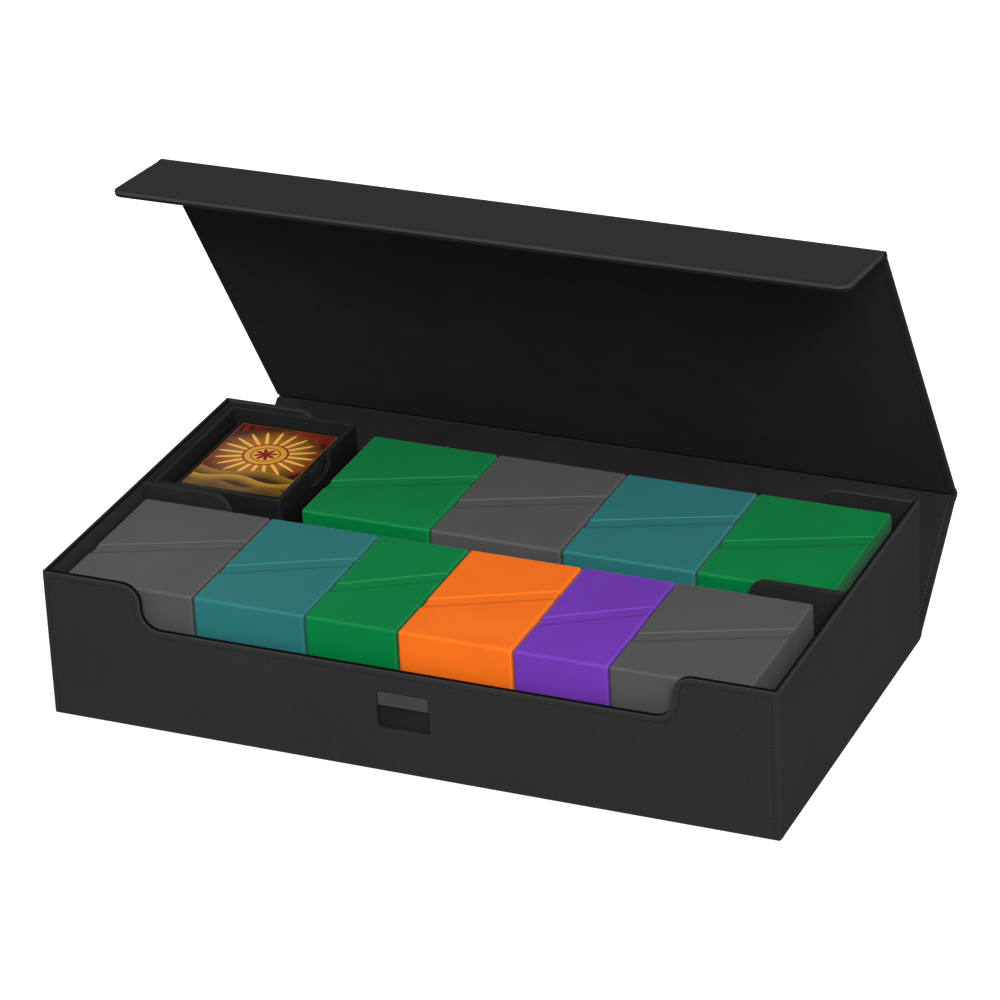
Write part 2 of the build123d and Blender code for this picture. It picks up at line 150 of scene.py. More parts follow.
class CardBoxSizes(bpy.types.PropertyGroup):
    """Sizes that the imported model's boxes don't give."""

    skin: length("Skin", "Thickness of the leatherette and linings", 0.0005)
    rim_radius: length("Rim radius", "Rounding of the walls' rim", 0.0005)
    wall_corner_radius: length("Wall corners", "Rounding of the base's upright corners", 0.0012)
    shoulder_width: length("Shoulder", "Width of the high ends of the long walls", 0.0587)
    cutout_depth: length("Cutout depth", "How far the long walls drop between their shoulders", 0.026)
    cutout_radius: length("Cutout radius", "Radius of the S-curves beside the cutouts", 0.011)
    recess_depth: length("Recess depth", "Depth of the finger recess under the badge", 0.002)
    recess_height: length("Recess height", "Open height of the finger recess", 0.0128)
    recess_corner_radius: length("Recess corners", "Rounding of the recess", 0.0012)
    recess_edge_radius: length("Recess edge", "Soft edge of the recess", 0.0004)
    badge_clearance: length("Badge clearance", "Gap round the badge in its pocket", 0.00015)
    card_shift: length("Card shift", "How far a stacked card may lie off the rest", 0.00025)
    panel_thickness: length("Panel thickness", "Thickness of the cover's panels", 0.0032)
    panel_edge_radius: length("Panel edge", "Rounding of the cover's edges", 0.0014)
    panel_corner_radius: length("Panel corners", "Rounding of the corners at the folds", 0.0006)
    flap_corner_radius: length("Flap corners", "Rounding of the flap's free corners", 0.007)
    bead_height: length("Bead height", "How far the skin stands up along the flap's free edges", 0.00025)
    bead_crest: length("Bead crest", "From the flap's edge to the crest of its bead", 0.0013)
    bead_width: length("Bead width", "From the flap's edge to the inner foot of its bead", 0.003)
    under_edge_step: length("Under-edge step", "How far the flap's lower layer lies back", 0.0003)
    under_edge_radius: length("Under-edge radius", "Rounding of the flap's lower layer", 0.0005)
    edge_groove: length("Edge groove", "Depth and half width of the line between the flap's layers", 0.00015)
    fold_room: length("Fold room", "From a fold line to the edge of a panel", 0.0036)
    fold_radius: length("Fold radius", "Rounding of the leatherette at a fold", 0.0018)
    fold_overlap: length("Fold overlap", "How far a fold's strip reaches into the panels' skin", 0.0012)
    fold_sink: length("Fold sink", "How deep it lies there", 0.00008)
    fold_gap: length("Fold gap", "From the spine's hinge line to its panel", 0.0004)
    flap_length: length("Flap length", "Length of the flap from its fold", 0.0624)
    lining_margin: length("Lining margin", "Leatherette turned in round a panel's lining", 0.002)
    stitch_margin: length("Stitch margin", "From an edge to its line of stitches", 0.0036)
    stitch_pitch: length("Stitch pitch", "From one stitch to the next", 0.0025)
    stitch_length: length("Stitch length", "Length of a stitch that shows", 0.0018)
    stitch_width: length("Stitch width", "Width of the sewing thread", 0.00045)
    groove_depth: length("Groove depth", "How deep the thread pulls the skin in", 0.00012)
    groove_width: length("Groove width", "Width of the pulled-in line", 0.0012)
    tray_wall: length("Tray wall", "Thickness of the card tray's walls", 0.0025)
    notch_width: length("Notch width", "Width of the tray's thumb notch", 0.028)
    notch_depth: length("Notch depth", "Depth of the tray's thumb notch", 0.012)
    notch_radius: length("Notch radius", "Radius at the bottom of the thumb notch", 0.008)
    notch_lip_radius: length("Notch lip", "Radius at the top of the thumb notch", 0.003)
    tray_corner_radius: length("Tray corners", "Rounding of the tray's upright corners", 0.0022)
    tray_rim_radius: length("Tray rim", "Rounding of the tray's rim", 0.0004)
    badge_corner_radius: length("Badge corners", "Rounding of the badge's corners", 0.0008)
    badge_edge_radius: length("Badge edge", "Rounding of the badge's face", 0.0004)
    card_thickness: length("Card thickness", "Thickness of a sleeved card", 0.0006)
    card_corner_radius: length("Card corners", "Rounding of a sleeved card's corners", 0.003)
    case_edge_radius: length("Case edges", "Rounding of a deck case", 0.0018)
    case_wall: length("Case wall", "Wall of a deck case's cap", 0.0012)
    band_inset: length("Band inset", "How far the band lies below a case's faces", 0.0006)
    collar_inset: length("Collar inset", "From a case's face to its collar in the cap", 0.00135)
    collar_wall: length("Collar wall", "Wall of the collar", 0.0009)
    collar_engagement: length("Collar engagement", "How far the collar goes into the cap", 0.01)
    band_length: length("Band length", "Length of the band between a case's halves", 0.0096)
    band_rise: length("Band rise", "How far the band slants across a case", 0.0316)
    band_edge_radius: length("Band edge", "Rounding of the box's edge beside the band", 0.00025)
    band_bevel: length("Band bevel", "Bevel of the cap's edge beside the band", 0.00055)
    # The band's crease is a line of painted shade
    band_crease: length("Band crease", "Width of the shaded line along the band", 0.0014)


class CardBoxColours(bpy.types.PropertyGroup):
    """Colours of the box and what it holds."""

    leatherette: colour("Leatherette", "Skin of the base and cover", (0.0262, 0.0262, 0.0266))
    lining: colour("Lining", "Brushed microfibre lining", (0.0150, 0.0150, 0.0152))
    # The lid's lining is the same microfibre as the rest, darkened as painted shade
    lid_lining: colour("Lid lining", "Darker microfibre inside the lid", (0.0095, 0.0095, 0.0097))
    # Dark lining with painted shade on the rim, and painted shade in the flap's edge groove
    edging_and_shade: colour("Edging and shade", "Dark lining on the rim and under the flap's edge", (0.004, 0.004, 0.004))
    # The recess is darkened as painted shade
    recess: colour("Recess", "Inside of the finger recess", (0.0135, 0.0135, 0.0137))
    tray: colour("Tray", "Skin of the card tray", (0.0100, 0.0100, 0.0102))
    thread: colour("Thread", "Sewing thread", (0.013, 0.013, 0.0132))
    pale_thread: colour("Pale thread", "Sewing thread inside the spine", (0.05, 0.05, 0.05))
    badge: colour("Badge", "Bare plate over the finger recess", (0.047, 0.047, 0.048))
    case_grey: colour("Grey case", "Grey deck cases", (0.077, 0.077, 0.078))
    case_green: colour("Green case", "Green deck cases", (0.0008, 0.18, 0.0435))
    case_teal: colour("Teal case", "Teal deck cases", (0.022, 0.156, 0.158))
    case_orange: colour("Orange case", "Orange deck case", (0.845, 0.153, 0.0105))
    case_purple: colour("Purple case", "Purple deck case", (0.147, 0.0355, 0.39))
    card_gold: colour("Card gold", "Gold of the top card", (0.64, 0.31, 0.032))
    card_red: colour("Card red", "Red of the top card", (0.24, 0.018, 0.012))
    card_dark: colour("Card dark", "Border and shadows of the top card", (0.012, 0.008, 0.006))
    sleeves: colour("Sleeves", "Card sleeves from the side", (0.02, 0.02, 0.02))
    sleeve_edge: colour("Sleeve edge", "Sleeve round the top card's face", (0.02, 0.019, 0.018))
    board: colour("Board", "Grey board inside the walls and panels", (0.09, 0.088, 0.083))
    steel: colour("Steel", "Plated discs and magnets", (0.55, 0.55, 0.56))
    floor: colour("Floor", "Studio floor", (0.98, 0.98, 0.98))
    floor_bounce: colour("Floor bounce", "Studio floor as it lights the object", (0.45, 0.45, 0.45))
    floor_gloss: colour("Floor gloss", "Studio floor as glossy faces mirror it", (0.1, 0.1, 0.1))


class CardBoxStage(bpy.types.PropertyGroup):
    """Camera and light of the studio."""

    azimuth: turn("Azimuth", "Camera's turn to the right of the front", 24.04)
    elevation: turn("Elevation", "Camera's height above the horizon", 26.684)
    roll: turn("Roll", "Camera's tilt about its own axis", -2.593)
    distance: length("Distance", "From the camera to the middle of the base", 2.5427)
    shift_right: length("Right of the base", "Camera's place to the right of its aim", 0.00532)
    shift_up: length("Above the base", "Camera's place above its aim", 0.09788)
    focal_length: FloatProperty(
        name="Focal length", description="Lens in millimetres, on a 36 mm sensor", default=164.265
    )
    ambient: strength("Ambient", "Strength of the even light all round", 0.45)
    key_strength: strength("Key strength", "Strength of the broad lamp", 2.9)
    key_azimuth: turn("Key azimuth", "Broad lamp's turn to the right of the front", 28.0)
    key_elevation: turn("Key elevation", "Broad lamp's height above the horizon", 40.0)
    key_spread: turn("Key spread", "Angle that the broad lamp fills", 26.0)
    side_strength: strength("Side strength", "Strength of the low lamp on the right", 0.9)
    side_azimuth: turn("Side azimuth", "Low lamp's turn to the right of the front", 85.0)
    side_elevation: turn("Side elevation", "Low lamp's height above the horizon", 25.0)
    side_spread: turn("Side spread", "Angle that the low lamp fills", 30.0)


# Geometry

# A point of the rim round an open box, with the way out of the wall there, its foot and its wall
Station = namedtuple("Station", "rim up foot wall")

# A point of one wall's rim, by its place along the wall, with the way out of the wall and its foot
ProfilePoint = namedtuple("ProfilePoint", "place height up_along up_height foot")

# Steps of the round forms, and rings of the groove in the flap's edge
ARC_STEPS = 8
CORNER_STEPS = 4
ROUND_STEPS = 4
POCKET_ROUND_STEPS = 3
FLAP_CORNER_STEPS = 8
FOLD_STEPS = 8
CASE_ROUND_STEPS = 5
THREAD_SIDES = 6
GROOVE_RINGS = 2
QUARTER_TURN = [step / ROUND_STEPS * pi / 2 for step in range(ROUND_STEPS + 1)]

# Shares of the sizes that they follow
FOOT_LEAN_SHARE = 0.02
FOLD_EDGE_SHARE = 0.25
BOTTOM_EDGE_SHARE = 0.8
DIVIDER_EDGE_SHARE = 0.92
WINDOW_MARGIN_SHARE = 2.0
BEAD_SLOPE_SHARES = (0.25, 0.5, 0.75, 1.0)
STITCH_SWELL_SHARES = ((0.0, 0.3), (0.12, 0.75), (0.5, 1.0), (0.88, 0.75), (1.0, 0.3))
STITCH_RISE_SHARE = 0.15
CARD_FILL_SHARE = 0.94
CARD_EDGE_SHARE = 0.25
SMALL_ROUND_SHARE = 0.3
SOFT_BEVEL_SHARE = 0.2

# How pale the rings of a rounding are, as abrasion and painted highlight, and how much painted shade the
# fading rings beside a crease get
ROUNDING_WEAR_AND_HIGHLIGHT = [0.3, 0.8, 1.0, 0.8, 0.3]
CREASE_START = 0.15
CREASE_END = 0.3


def extent(*nodes):
    """Lowest and highest corners of several CAD nodes together."""
    boxes = [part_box(node) for node in nodes]
    low = Vector([min(box[0][axis] for box in boxes) for axis in range(3)])
    high = Vector([max(box[1][axis] for box in boxes) for axis in range(3)])
    return low, high


def arc(centre, radius, start, end, steps=ARC_STEPS):
    """Points of an arc in a plane with the directions from its centre. Angles are in degrees."""
    points = []
    for step in range(steps + 1):
        angle = radians(start + (end - start) * step / steps)
        direction = Vector((cos(angle), sin(angle)))
        points.append((centre + radius * direction, direction))
    return points


def rounded_rectangle(low, high, radii, steps=CORNER_STEPS):
    """Points of a rectangle with round corners, anticlockwise from the upper right one."""
    points = []
    corners = ((high[0], high[1]), (low[0], high[1]), (low[0], low[1]), (high[0], low[1]))
    for number, (corner, radius) in enumerate(zip(corners, radii)):
        angle = 90 * number
        inwards = Vector((-1 if number in (0, 3) else 1, -1 if number in (0, 1) else 1))
        centre = Vector(corner) + radius * inwards
        points += [point for point, _ in arc(centre, radius, angle, angle + 90, steps)]
    return points


def rounding(radius, steps=ROUND_STEPS):
    """Places (inset, depth) over a round edge, from its flat face to its side."""
    angles = [step / steps * pi / 2 for step in range(steps + 1)]
    return [(radius * (1 - sin(angle)), radius * (1 - cos(angle))) for angle in angles]


def drawn_in_rectangle(low, high, inset, radius):
    """Points of a rectangle with round corners, drawn in all round by an inset."""
    margin = Vector((inset, inset))
    return rounded_rectangle(low + margin, high - margin, [max(radius - inset, 0.0)] * 4)


def level_ring(low, high, inset, radius, height):
    """A box's outline from above, drawn in by an inset, at a height."""
    outline = drawn_in_rectangle(low.xy, high.xy, inset, radius)
    return [Vector((point.x, point.y, height)) for point in outline]


def upright_ring(low, high, inset, radius, y):
    """A box's outline from the front, drawn in by an inset, at a place along Y."""
    outline = drawn_in_rectangle(low.xz, high.xz, inset, radius)
    return [Vector((point.x, y, point.y)) for point in outline]


def loft(bm, rings, close_ends=True, close_loop=False):
    """Faces from ring to ring, each of as many points. The end rings are filled or joined."""
    loops = [[bm.verts.new(point) for point in ring] for ring in rings]
    pairs = list(zip(loops, loops[1:]))
    if close_loop:
        pairs.append((loops[-1], loops[0]))
    for before, after in pairs:
        for number, corner in enumerate(before):
            following = (number + 1) % len(before)
            bm.faces.new((corner, before[following], after[following], after[number]))
    if close_ends and not close_loop:
        bm.faces.new(list(reversed(loops[0])))
        bm.faces.new(loops[-1])
    return loops


def lofted(rings):
    """A new bmesh with rings lofted into one closed shape."""
    bm = bmesh.new()
    loft(bm, rings)
    return bm


def loft_with_shades(bm, attribute, rings, shades, **closing):
    """Loft rings and keep a shade for each as a vertex attribute that the finish reads."""
    layer = bm.verts.layers.float.new(attribute)
    loops = loft(bm, rings, **closing)
    for loop, shade in zip(loops, shades):
        for corner in loop:
            corner[layer] = shade
    return loops


def paint(loops, finish_number):
    """Give the faces between neighbouring loops of a loft another of the piece's finishes."""
    corners = {corner for loop in loops for corner in loop}
    for face in {face for corner in corners for face in corner.link_faces}:
        if corners.issuperset(face.verts):
            face.material_index = finish_number


def make_piece(name, bm, finish, body=None, replaced=(), more_finishes=()):
    """An object from a finished bmesh, with its finishes and the body it rides on."""
    bmesh.ops.remove_doubles(bm, verts=bm.verts, dist=MERGE_DISTANCE)
    bmesh.ops.dissolve_degenerate(bm, edges=bm.edges, dist=MERGE_DISTANCE)
    bmesh.ops.recalc_face_normals(bm, faces=bm.faces)
    mesh = bpy.data.meshes.new(name)
    bm.to_mesh(mesh)
    bm.free()
    mesh.shade_smooth()
    mesh.set_sharp_from_angle(angle=SMOOTH_ANGLE)
    for one in (finish, *more_finishes):
        mesh.materials.append(bpy.data.materials[one])
    piece = bpy.data.objects.new(name, mesh)
    bpy.context.scene.collection.objects.link(piece)
    flat_faces = piece.modifiers.new("Flat faces", "WEIGHTED_NORMAL")
    flat_faces.keep_sharp = True
    if replaced:
        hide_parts(*replaced)
    if body:
        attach(piece, body)
    return piece


def dress(nodes, finish):
    """Give CAD nodes that stay as they are a finish."""
    for node in nodes:
        mesh = frame["nodes"][node].data
        mesh.materials.clear()
        mesh.materials.append(bpy.data.materials[finish])


def cutout(half_width, top, depth, lip_radius, valley_radius, reach):
    """Rim of a cutout in a wall, from left to right: a round lip, a round valley and their mirror.

    Each point's foot stands under the ring that follows the rim at a depth of the reach.
    """
    lip = Vector((-half_width - lip_radius, top - lip_radius))
    valley = Vector((-half_width + valley_radius, top - depth + valley_radius))
    left = arc(lip, lip_radius, 90, 0)
    left += [(point, -out) for point, out in arc(valley, valley_radius, 180, 270)]
    profile = []
    for point, up in left:
        lean = FOOT_LEAN_SHARE * (point.y - top + depth)
        profile.append(ProfilePoint(point.x, point.y, up.x, up.y, point.x - reach * up.x - lean))
    for before in reversed(profile[:]):
        profile.append(
            ProfilePoint(-before.place, before.height, -before.up_along, before.up_height, -before.foot)
        )
    return profile


def level(places, height):
    """Points along a level stretch of a wall's rim."""
    return [ProfilePoint(place, height, 0, 1, place) for place in places]


class WallRing:
    """The walls of an open box, as rings of points round it. Walls go front, right, rear, left."""

    def __init__(self, low, high, corner_radius, profiles):
        self.low = low
        self.high = high
        centre = (low + high) / 2
        half = (high - low) / 2
        self.stations = []
        for wall, profile in enumerate(profiles):
            quarter = wall * pi / 2
            along = Vector((cos(quarter), sin(quarter), 0))
            out = Vector((sin(quarter), -cos(quarter), 0))
            reach = half.y if wall % 2 == 0 else half.x
            half_length = half.x if wall % 2 == 0 else half.y
            face = Vector((centre.x, centre.y, 0)) + reach * out
            for point in profile:
                rim = face + point.place * along + point.height * UP
                up = point.up_along * along + point.up_height * UP
                self.stations.append(Station(rim, up, face + point.foot * along, wall))
            corner = face - corner_radius * out + (half_length - corner_radius) * along
            for step in range(1, CORNER_STEPS):
                angle = step / CORNER_STEPS * pi / 2
                place = corner + corner_radius * (cos(angle) * out + sin(angle) * along)
                self.stations.append(Station(place + high.z * UP, UP, place, wall))

    def inside(self, point, inset):
        """A point moved to where it lies at least an inset behind the walls' faces."""
        x = min(max(point.x, self.low.x + inset), self.high.x - inset)
        y = min(max(point.y, self.low.y + inset), self.high.y - inset)
        return Vector((x, y, point.z))

    def below_rim(self, depth, inset):
        """A ring that follows the rim at a depth below it."""
        return [self.inside(s.rim - depth * s.up, inset) for s in self.stations]

    def at_height(self, height, inset):
        """A level ring."""
        return [self.inside(s.foot + height * UP, inset) for s in self.stations]

    def rim(self, thickness, outer_radius, inner_radius):
        """Rings over the rim, from the outer face to the inner one."""
        outer = [self.below_rim(depth, inset) for inset, depth in reversed(rounding(outer_radius))]
        inner = [self.below_rim(depth, thickness - inset) for inset, depth in rounding(inner_radius)]
        return outer + inner


class CoverPanel:
    """One panel of the cover, by distance from its hinge line and height above its outer face."""

    def __init__(self, hinge, angle, start, end):
        self.hinge = hinge
        self.angle = radians(angle)
        self.start = start
        self.end = end
        self.along = Vector((0, cos(self.angle), sin(self.angle)))
        self.inwards = Vector((0, -sin(self.angle), cos(self.angle)))

    def at(self, x, distance, height):
        """A point on or in the panel."""
        return self.hinge + x * ALONG_X + distance * self.along + height * self.inwards


def cover_panels(sizes):
    """The spine, lid and flap as they stand, from the joints.

    At its upper limit a hinge lies flat, so that limit is also how far it is folded at rest.
    """
    spine_angle = JOINTS["spine_hinge"]["range_deg"][1]
    lid_angle = spine_angle + JOINTS["lid_hinge"]["range_deg"][1]
    flap_angle = lid_angle + JOINTS["flap_hinge"]["range_deg"][1]
    lid_hinge = Vector(JOINTS["lid_hinge"]["pos_m"])
    flap_hinge = Vector(JOINTS["flap_hinge"]["pos_m"])
    spine_inner_edge = CoverPanel(Vector(JOINTS["spine_hinge"]["pos_m"]), spine_angle, 0, 0)
    spine_start = spine_inner_edge.at(0, 0, -sizes.panel_thickness)
    spine_length = (lid_hinge - spine_start).length
    lid_length = (flap_hinge - lid_hinge).length
    return {
        "spine": CoverPanel(spine_start, spine_angle, sizes.fold_gap, spine_length - sizes.fold_room),
        "lid": CoverPanel(lid_hinge, lid_angle, sizes.fold_room, lid_length - sizes.fold_room),
        "flap": CoverPanel(flap_hinge, flap_angle, sizes.fold_room, sizes.flap_length),
    }


def add_stitches(bm, path, out, sizes):
    """A run of stitches along a path on a flat face, each a rounded length of thread."""
    lengths = [(after - before).length for before, after in zip(path, path[1:])]
    total = sum(lengths)
    count = int((total - sizes.stitch_length) / sizes.stitch_pitch) + 1
    margin = (total - (count - 1) * sizes.stitch_pitch - sizes.stitch_length) / 2

    def place(distance):
        """The point at a distance along the path."""
        for before, after, stretch in zip(path, path[1:], lengths):
            if distance <= stretch:
                return before.lerp(after, distance / stretch)
            distance -= stretch
        return path[-1]

    for number in range(count):
        begin = place(margin + number * sizes.stitch_pitch)
        end = place(margin + number * sizes.stitch_pitch + sizes.stitch_length)
        side = (end - begin).cross(out).normalized()
        rings = []
        for share, swell in STITCH_SWELL_SHARES:
            middle = begin.lerp(end, share) + STITCH_RISE_SHARE * sizes.stitch_width * out
            radius = swell * sizes.stitch_width / 2
            angles = [2 * pi * corner / THREAD_SIDES for corner in range(THREAD_SIDES)]
            rings.append([middle + radius * (cos(angle) * side + sin(angle) * out) for angle in angles])
        loft(bm, rings)


# Shader nodes

PLAIN_GREY = (0.5, 0.5, 0.5, 1.0)
WHITE = (1.0, 1.0, 1.0)

# Spans that values are carried from and to, the first where most of a noise lies
NOISE_SPAN = (0.3, 0.7)
RISING = (0.0, 1.0)
FALLING = (1.0, 0.0)

# Weight and roughness of the sheen on a surface
NO_SHEEN = (0.0, 0.5)
LINING_SHEEN = (0.04, 0.5)
FROST_SHEEN = (0.24, 0.3)

# Sockets of a Mix node that is set to colours
MIX_FACTOR = 0
MIX_FIRST = 6
MIX_SECOND = 7
MIX_RESULT = 2

# A row of dunes: height of its crest, swing of its waves, their radians per metre and at start, its tint
Dune = namedtuple("Dune", "crest swing waves start tint")


def add_node(tree, kind, inputs=None, **properties):
    """Add a shader node with its properties and inputs."""
    node = tree.nodes.new(f"ShaderNode{kind}")
    for name, value in properties.items():
        setattr(node, name, value)
    feed(tree, node.inputs, inputs or {})
    return node


def feed(tree, sockets, values):
    """Give sockets, by name or number, their values or the outputs that feed them."""
    for name, value in values.items():
        socket = sockets[name]
        if isinstance(value, bpy.types.NodeSocket):
            tree.links.new(value, socket)
        elif socket.type == "RGBA":
            socket.default_value = (*value, 1.0)
        else:
            socket.default_value = value


def calculate(tree, operation, *values, clamp=False):
    """The value of a math node."""
    node = add_node(tree, "Math", dict(enumerate(values)), operation=operation, use_clamp=clamp)
    return node.outputs["Value"]


def mix_colours(tree, factor, first, second):
    """Two colours mixed by a factor."""
    inputs = {MIX_FACTOR: factor, MIX_FIRST: first, MIX_SECOND: second}
    return add_node(tree, "Mix", inputs, data_type="RGBA").outputs[MIX_RESULT]


def shaded(tree, tint, shade):
    """A colour made paler or darker."""
    return add_node(tree, "VectorMath", {0: tint, "Scale": shade}, operation="SCALE").outputs["Vector"]


def remap(tree, value, given_span, wanted_span):
    """A value carried from one span to another, and kept inside it."""
    inputs = {
        "Value": value,
        "From Min": given_span[0],
        "From Max": given_span[1],
        "To Min": wanted_span[0],
        "To Max": wanted_span[1],
    }
    return add_node(tree, "MapRange", inputs).outputs["Result"]


def noise(tree, place, **inputs):
    """Outputs of a noise texture whose inputs are given by name."""
    values = {name.capitalize(): value for name, value in inputs.items()}
    return add_node(tree, "TexNoise", {"Vector": place, **values}).outputs


def new_effect(name, inputs):
    """An empty node group for a surface, with its input sockets and those of its result."""
    tree = bpy.data.node_groups.new(name, "ShaderNodeTree")
    for socket_name, default in inputs.items():
        kind = "NodeSocketFloat" if isinstance(default, float) else "NodeSocketColor"
        socket = tree.interface.new_socket(socket_name, in_out="INPUT", socket_type=kind)
        socket.default_value = default
    outputs = {"Colour": "NodeSocketColor", "Roughness": "NodeSocketFloat", "Height": "NodeSocketFloat"}
    for socket_name, kind in outputs.items():
        tree.interface.new_socket(socket_name, in_out="OUTPUT", socket_type=kind)
    given = tree.nodes.new("NodeGroupInput").outputs
    result = tree.nodes.new("NodeGroupOutput").inputs
    return tree, given, result


def make_grain_group():
    """Pebbled leather: small cells with soft creases between them, mottled, and paler on the edges, as
    abrasion and painted highlight.
    """
    wobble_reach = 0.0012
    cell_span = (0.15, 0.75)
    crease_span, crease_shades = (0.0, 0.5), (0.87, 1.0)
    cloud_shades = (0.95, 1.05)
    roughness_change = (-0.05, 0.05)
    tree, given, result = new_effect(
        GRAIN, {"Colour": PLAIN_GREY, "Cell Scale": 1300.0, "Roughness": 0.6, "Edge Wear": 0.0}
    )
    place = add_node(tree, "TexCoord").outputs["Object"]
    wobble = noise(tree, place, scale=420.0, detail=2.0)["Color"]
    shifted = add_node(
        tree, "VectorMath", {0: wobble, 1: [wobble_reach] * 3, 2: place}, operation="MULTIPLY_ADD"
    )
    cells = add_node(
        tree, "TexVoronoi",
        {"Vector": shifted.outputs["Vector"], "Scale": given["Cell Scale"], "Smoothness": 0.35},
        feature="SMOOTH_F1",
    )
    pebbles = remap(tree, cells.outputs["Distance"], cell_span, FALLING)
    broad = noise(tree, place, scale=14.0, detail=4.0, roughness=0.6)["Fac"]
    cloud = remap(tree, broad, NOISE_SPAN, cloud_shades)
    crease = remap(tree, pebbles, crease_span, crease_shades)
    # Abrasion and painted highlight: an attribute on the roundings makes them paler.
    worn = add_node(tree, "Attribute", attribute_name="worn").outputs["Fac"]
    paler = calculate(tree, "MULTIPLY_ADD", worn, given["Edge Wear"], 1.0)
    shade = calculate(tree, "MULTIPLY", calculate(tree, "MULTIPLY", cloud, crease), paler)
    rough = remap(tree, broad, NOISE_SPAN, roughness_change)
    feed(tree, result, {
        "Colour": shaded(tree, given["Colour"], shade),
        "Roughness": calculate(tree, "ADD", given["Roughness"], rough, clamp=True),
        "Height": pebbles,
    })


def make_nap_group():
    """Brushed microfibre: a fine pile that lies this way and that in soft patches."""
    stroke_span, stroke_shades = (0.32, 0.68), (0.82, 1.2)
    speckle_shades = (0.8, 1.2)
    fibre_roughness = (0.85, 1.0)
    tree, given, result = new_effect(NAP, {"Colour": PLAIN_GREY, "Patch Scale": 18.0})
    place = add_node(tree, "TexCoord").outputs["Object"]
    patch = noise(
        tree, place, scale=given["Patch Scale"], detail=5.0, roughness=0.65, distortion=1.2
    )["Fac"]
    fibre = noise(tree, place, scale=1900.0, detail=3.0)["Fac"]
    stroke = remap(tree, patch, stroke_span, stroke_shades)
    speckle = remap(tree, fibre, NOISE_SPAN, speckle_shades)
    feed(tree, result, {
        "Colour": shaded(tree, given["Colour"], calculate(tree, "MULTIPLY", stroke, speckle)),
        "Roughness": remap(tree, fibre, NOISE_SPAN, fibre_roughness),
        "Height": fibre,
    })


def make_moulded_group():
    """Moulded plastic: frosted, with faint flow marks, a painted highlight that pales the edges in patches,
    and painted shade in the creases.
    """
    flow_shades = (0.96, 1.04)
    square_span = (0.985, 0.8)
    highlight_patches = (0.75, 1.0)
    roughness_change = (0.04, -0.04)
    tree, given, result = new_effect(
        MOULDED,
        {
            "Colour": PLAIN_GREY,
            "Roughness": 0.45,
            "Frost Scale": 2200.0,
            "Edge Rub": 0.0,
            "Crease Shade": 0.0,
        },
    )
    coordinates = add_node(tree, "TexCoord").outputs
    place = coordinates["Object"]
    frost = noise(tree, place, scale=given["Frost Scale"], detail=2.0)["Fac"]
    flow = noise(tree, place, scale=26.0, detail=3.0, distortion=0.6)["Fac"]
    # Painted shade: the crease attribute darkens the rings beside the band's edge by the Crease Shade share.
    crease = add_node(tree, "Attribute", attribute_name="crease").outputs["Fac"]
    shadow = calculate(tree, "MULTIPLY", crease, given["Crease Shade"])
    lit = calculate(tree, "SUBTRACT", 1.0, shadow)
    shade = calculate(tree, "MULTIPLY", remap(tree, flow, NOISE_SPAN, flow_shades), lit)
    # Painted highlight: where the normal leans away from the axes, on rounded edges, the colour is mixed
    # towards white in patches.
    facing = add_node(tree, "VectorMath", {0: coordinates["Normal"]}, operation="ABSOLUTE")
    sides = add_node(tree, "SeparateXYZ", {0: facing.outputs["Vector"]}).outputs
    squareness = calculate(tree, "MAXIMUM", sides["X"], calculate(tree, "MAXIMUM", sides["Y"], sides["Z"]))
    edge = remap(tree, squareness, square_span, RISING)
    patchy_highlight = calculate(tree, "MULTIPLY", edge, remap(tree, flow, NOISE_SPAN, highlight_patches))
    edge_highlight = calculate(tree, "MULTIPLY", patchy_highlight, given["Edge Rub"])
    sheen = remap(tree, flow, NOISE_SPAN, roughness_change)
    feed(tree, result, {
        "Colour": mix_colours(tree, edge_highlight, shaded(tree, given["Colour"], shade), WHITE),
        "Roughness": calculate(tree, "ADD", given["Roughness"], sheen, clamp=True),
        "Height": frost,
    })


def new_material(name):
    """A new material's nodes and its Principled shader."""
    material = bpy.data.materials.new(name)
    material.use_nodes = True
    tree = material.node_tree
    return tree, tree.nodes["Principled BSDF"]


def make_finish(name, effect, inputs, bump, depth, gloss, sheen=NO_SHEEN, metallic=0.0):
    """A material of one shared effect: its colour, roughness and bump drive a Principled shader.

    Bump is the strength of the relief and depth its height. Sheen is a weight and a roughness.
    """
    tree, shader = new_material(name)
    surface = add_node(tree, "Group", inputs, node_tree=bpy.data.node_groups[effect]).outputs
    relief = add_node(tree, "Bump", {"Strength": bump, "Distance": depth, "Height": surface["Height"]})
    feed(tree, shader.inputs, {
        "Base Color": surface["Colour"],
        "Roughness": surface["Roughness"],
        "Normal": relief.outputs["Normal"],
        "Specular IOR Level": gloss,
        "Sheen Weight": sheen[0],
        "Sheen Roughness": sheen[1],
        "Metallic": metallic,
    })


def make_card_face(colours):
    """A printed card behind a clear sleeve: a rayed gold medallion over dunes, in a plain border."""
    sleeve_roughness = (0.3, 0.42)
    low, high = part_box("top_card")
    tree, shader = new_material("Card face")
    place = add_node(tree, "TexCoord").outputs["Object"]
    centred = add_node(tree, "VectorMath", {0: place, 1: (low + high) / 2}, operation="SUBTRACT")
    axes = add_node(tree, "SeparateXYZ", {0: centred.outputs["Vector"]}).outputs
    x, y = axes["X"], axes["Y"]
    mist = noise(tree, place, scale=70.0, detail=5.0, roughness=0.6, distortion=1.6)["Fac"]
    picture = draw_medallion(tree, x, y, mist, colours)
    picture = draw_dunes(tree, x, y, picture, colours)
    picture = draw_border(tree, x, y, (high - low) / 2, picture, colours)
    feed(tree, shader.inputs, {
        "Base Color": picture,
        "Roughness": remap(tree, mist, NOISE_SPAN, sleeve_roughness),
        "Specular IOR Level": 0.12,
        "Coat Weight": 0.1,
        "Coat Roughness": 0.12,
    })


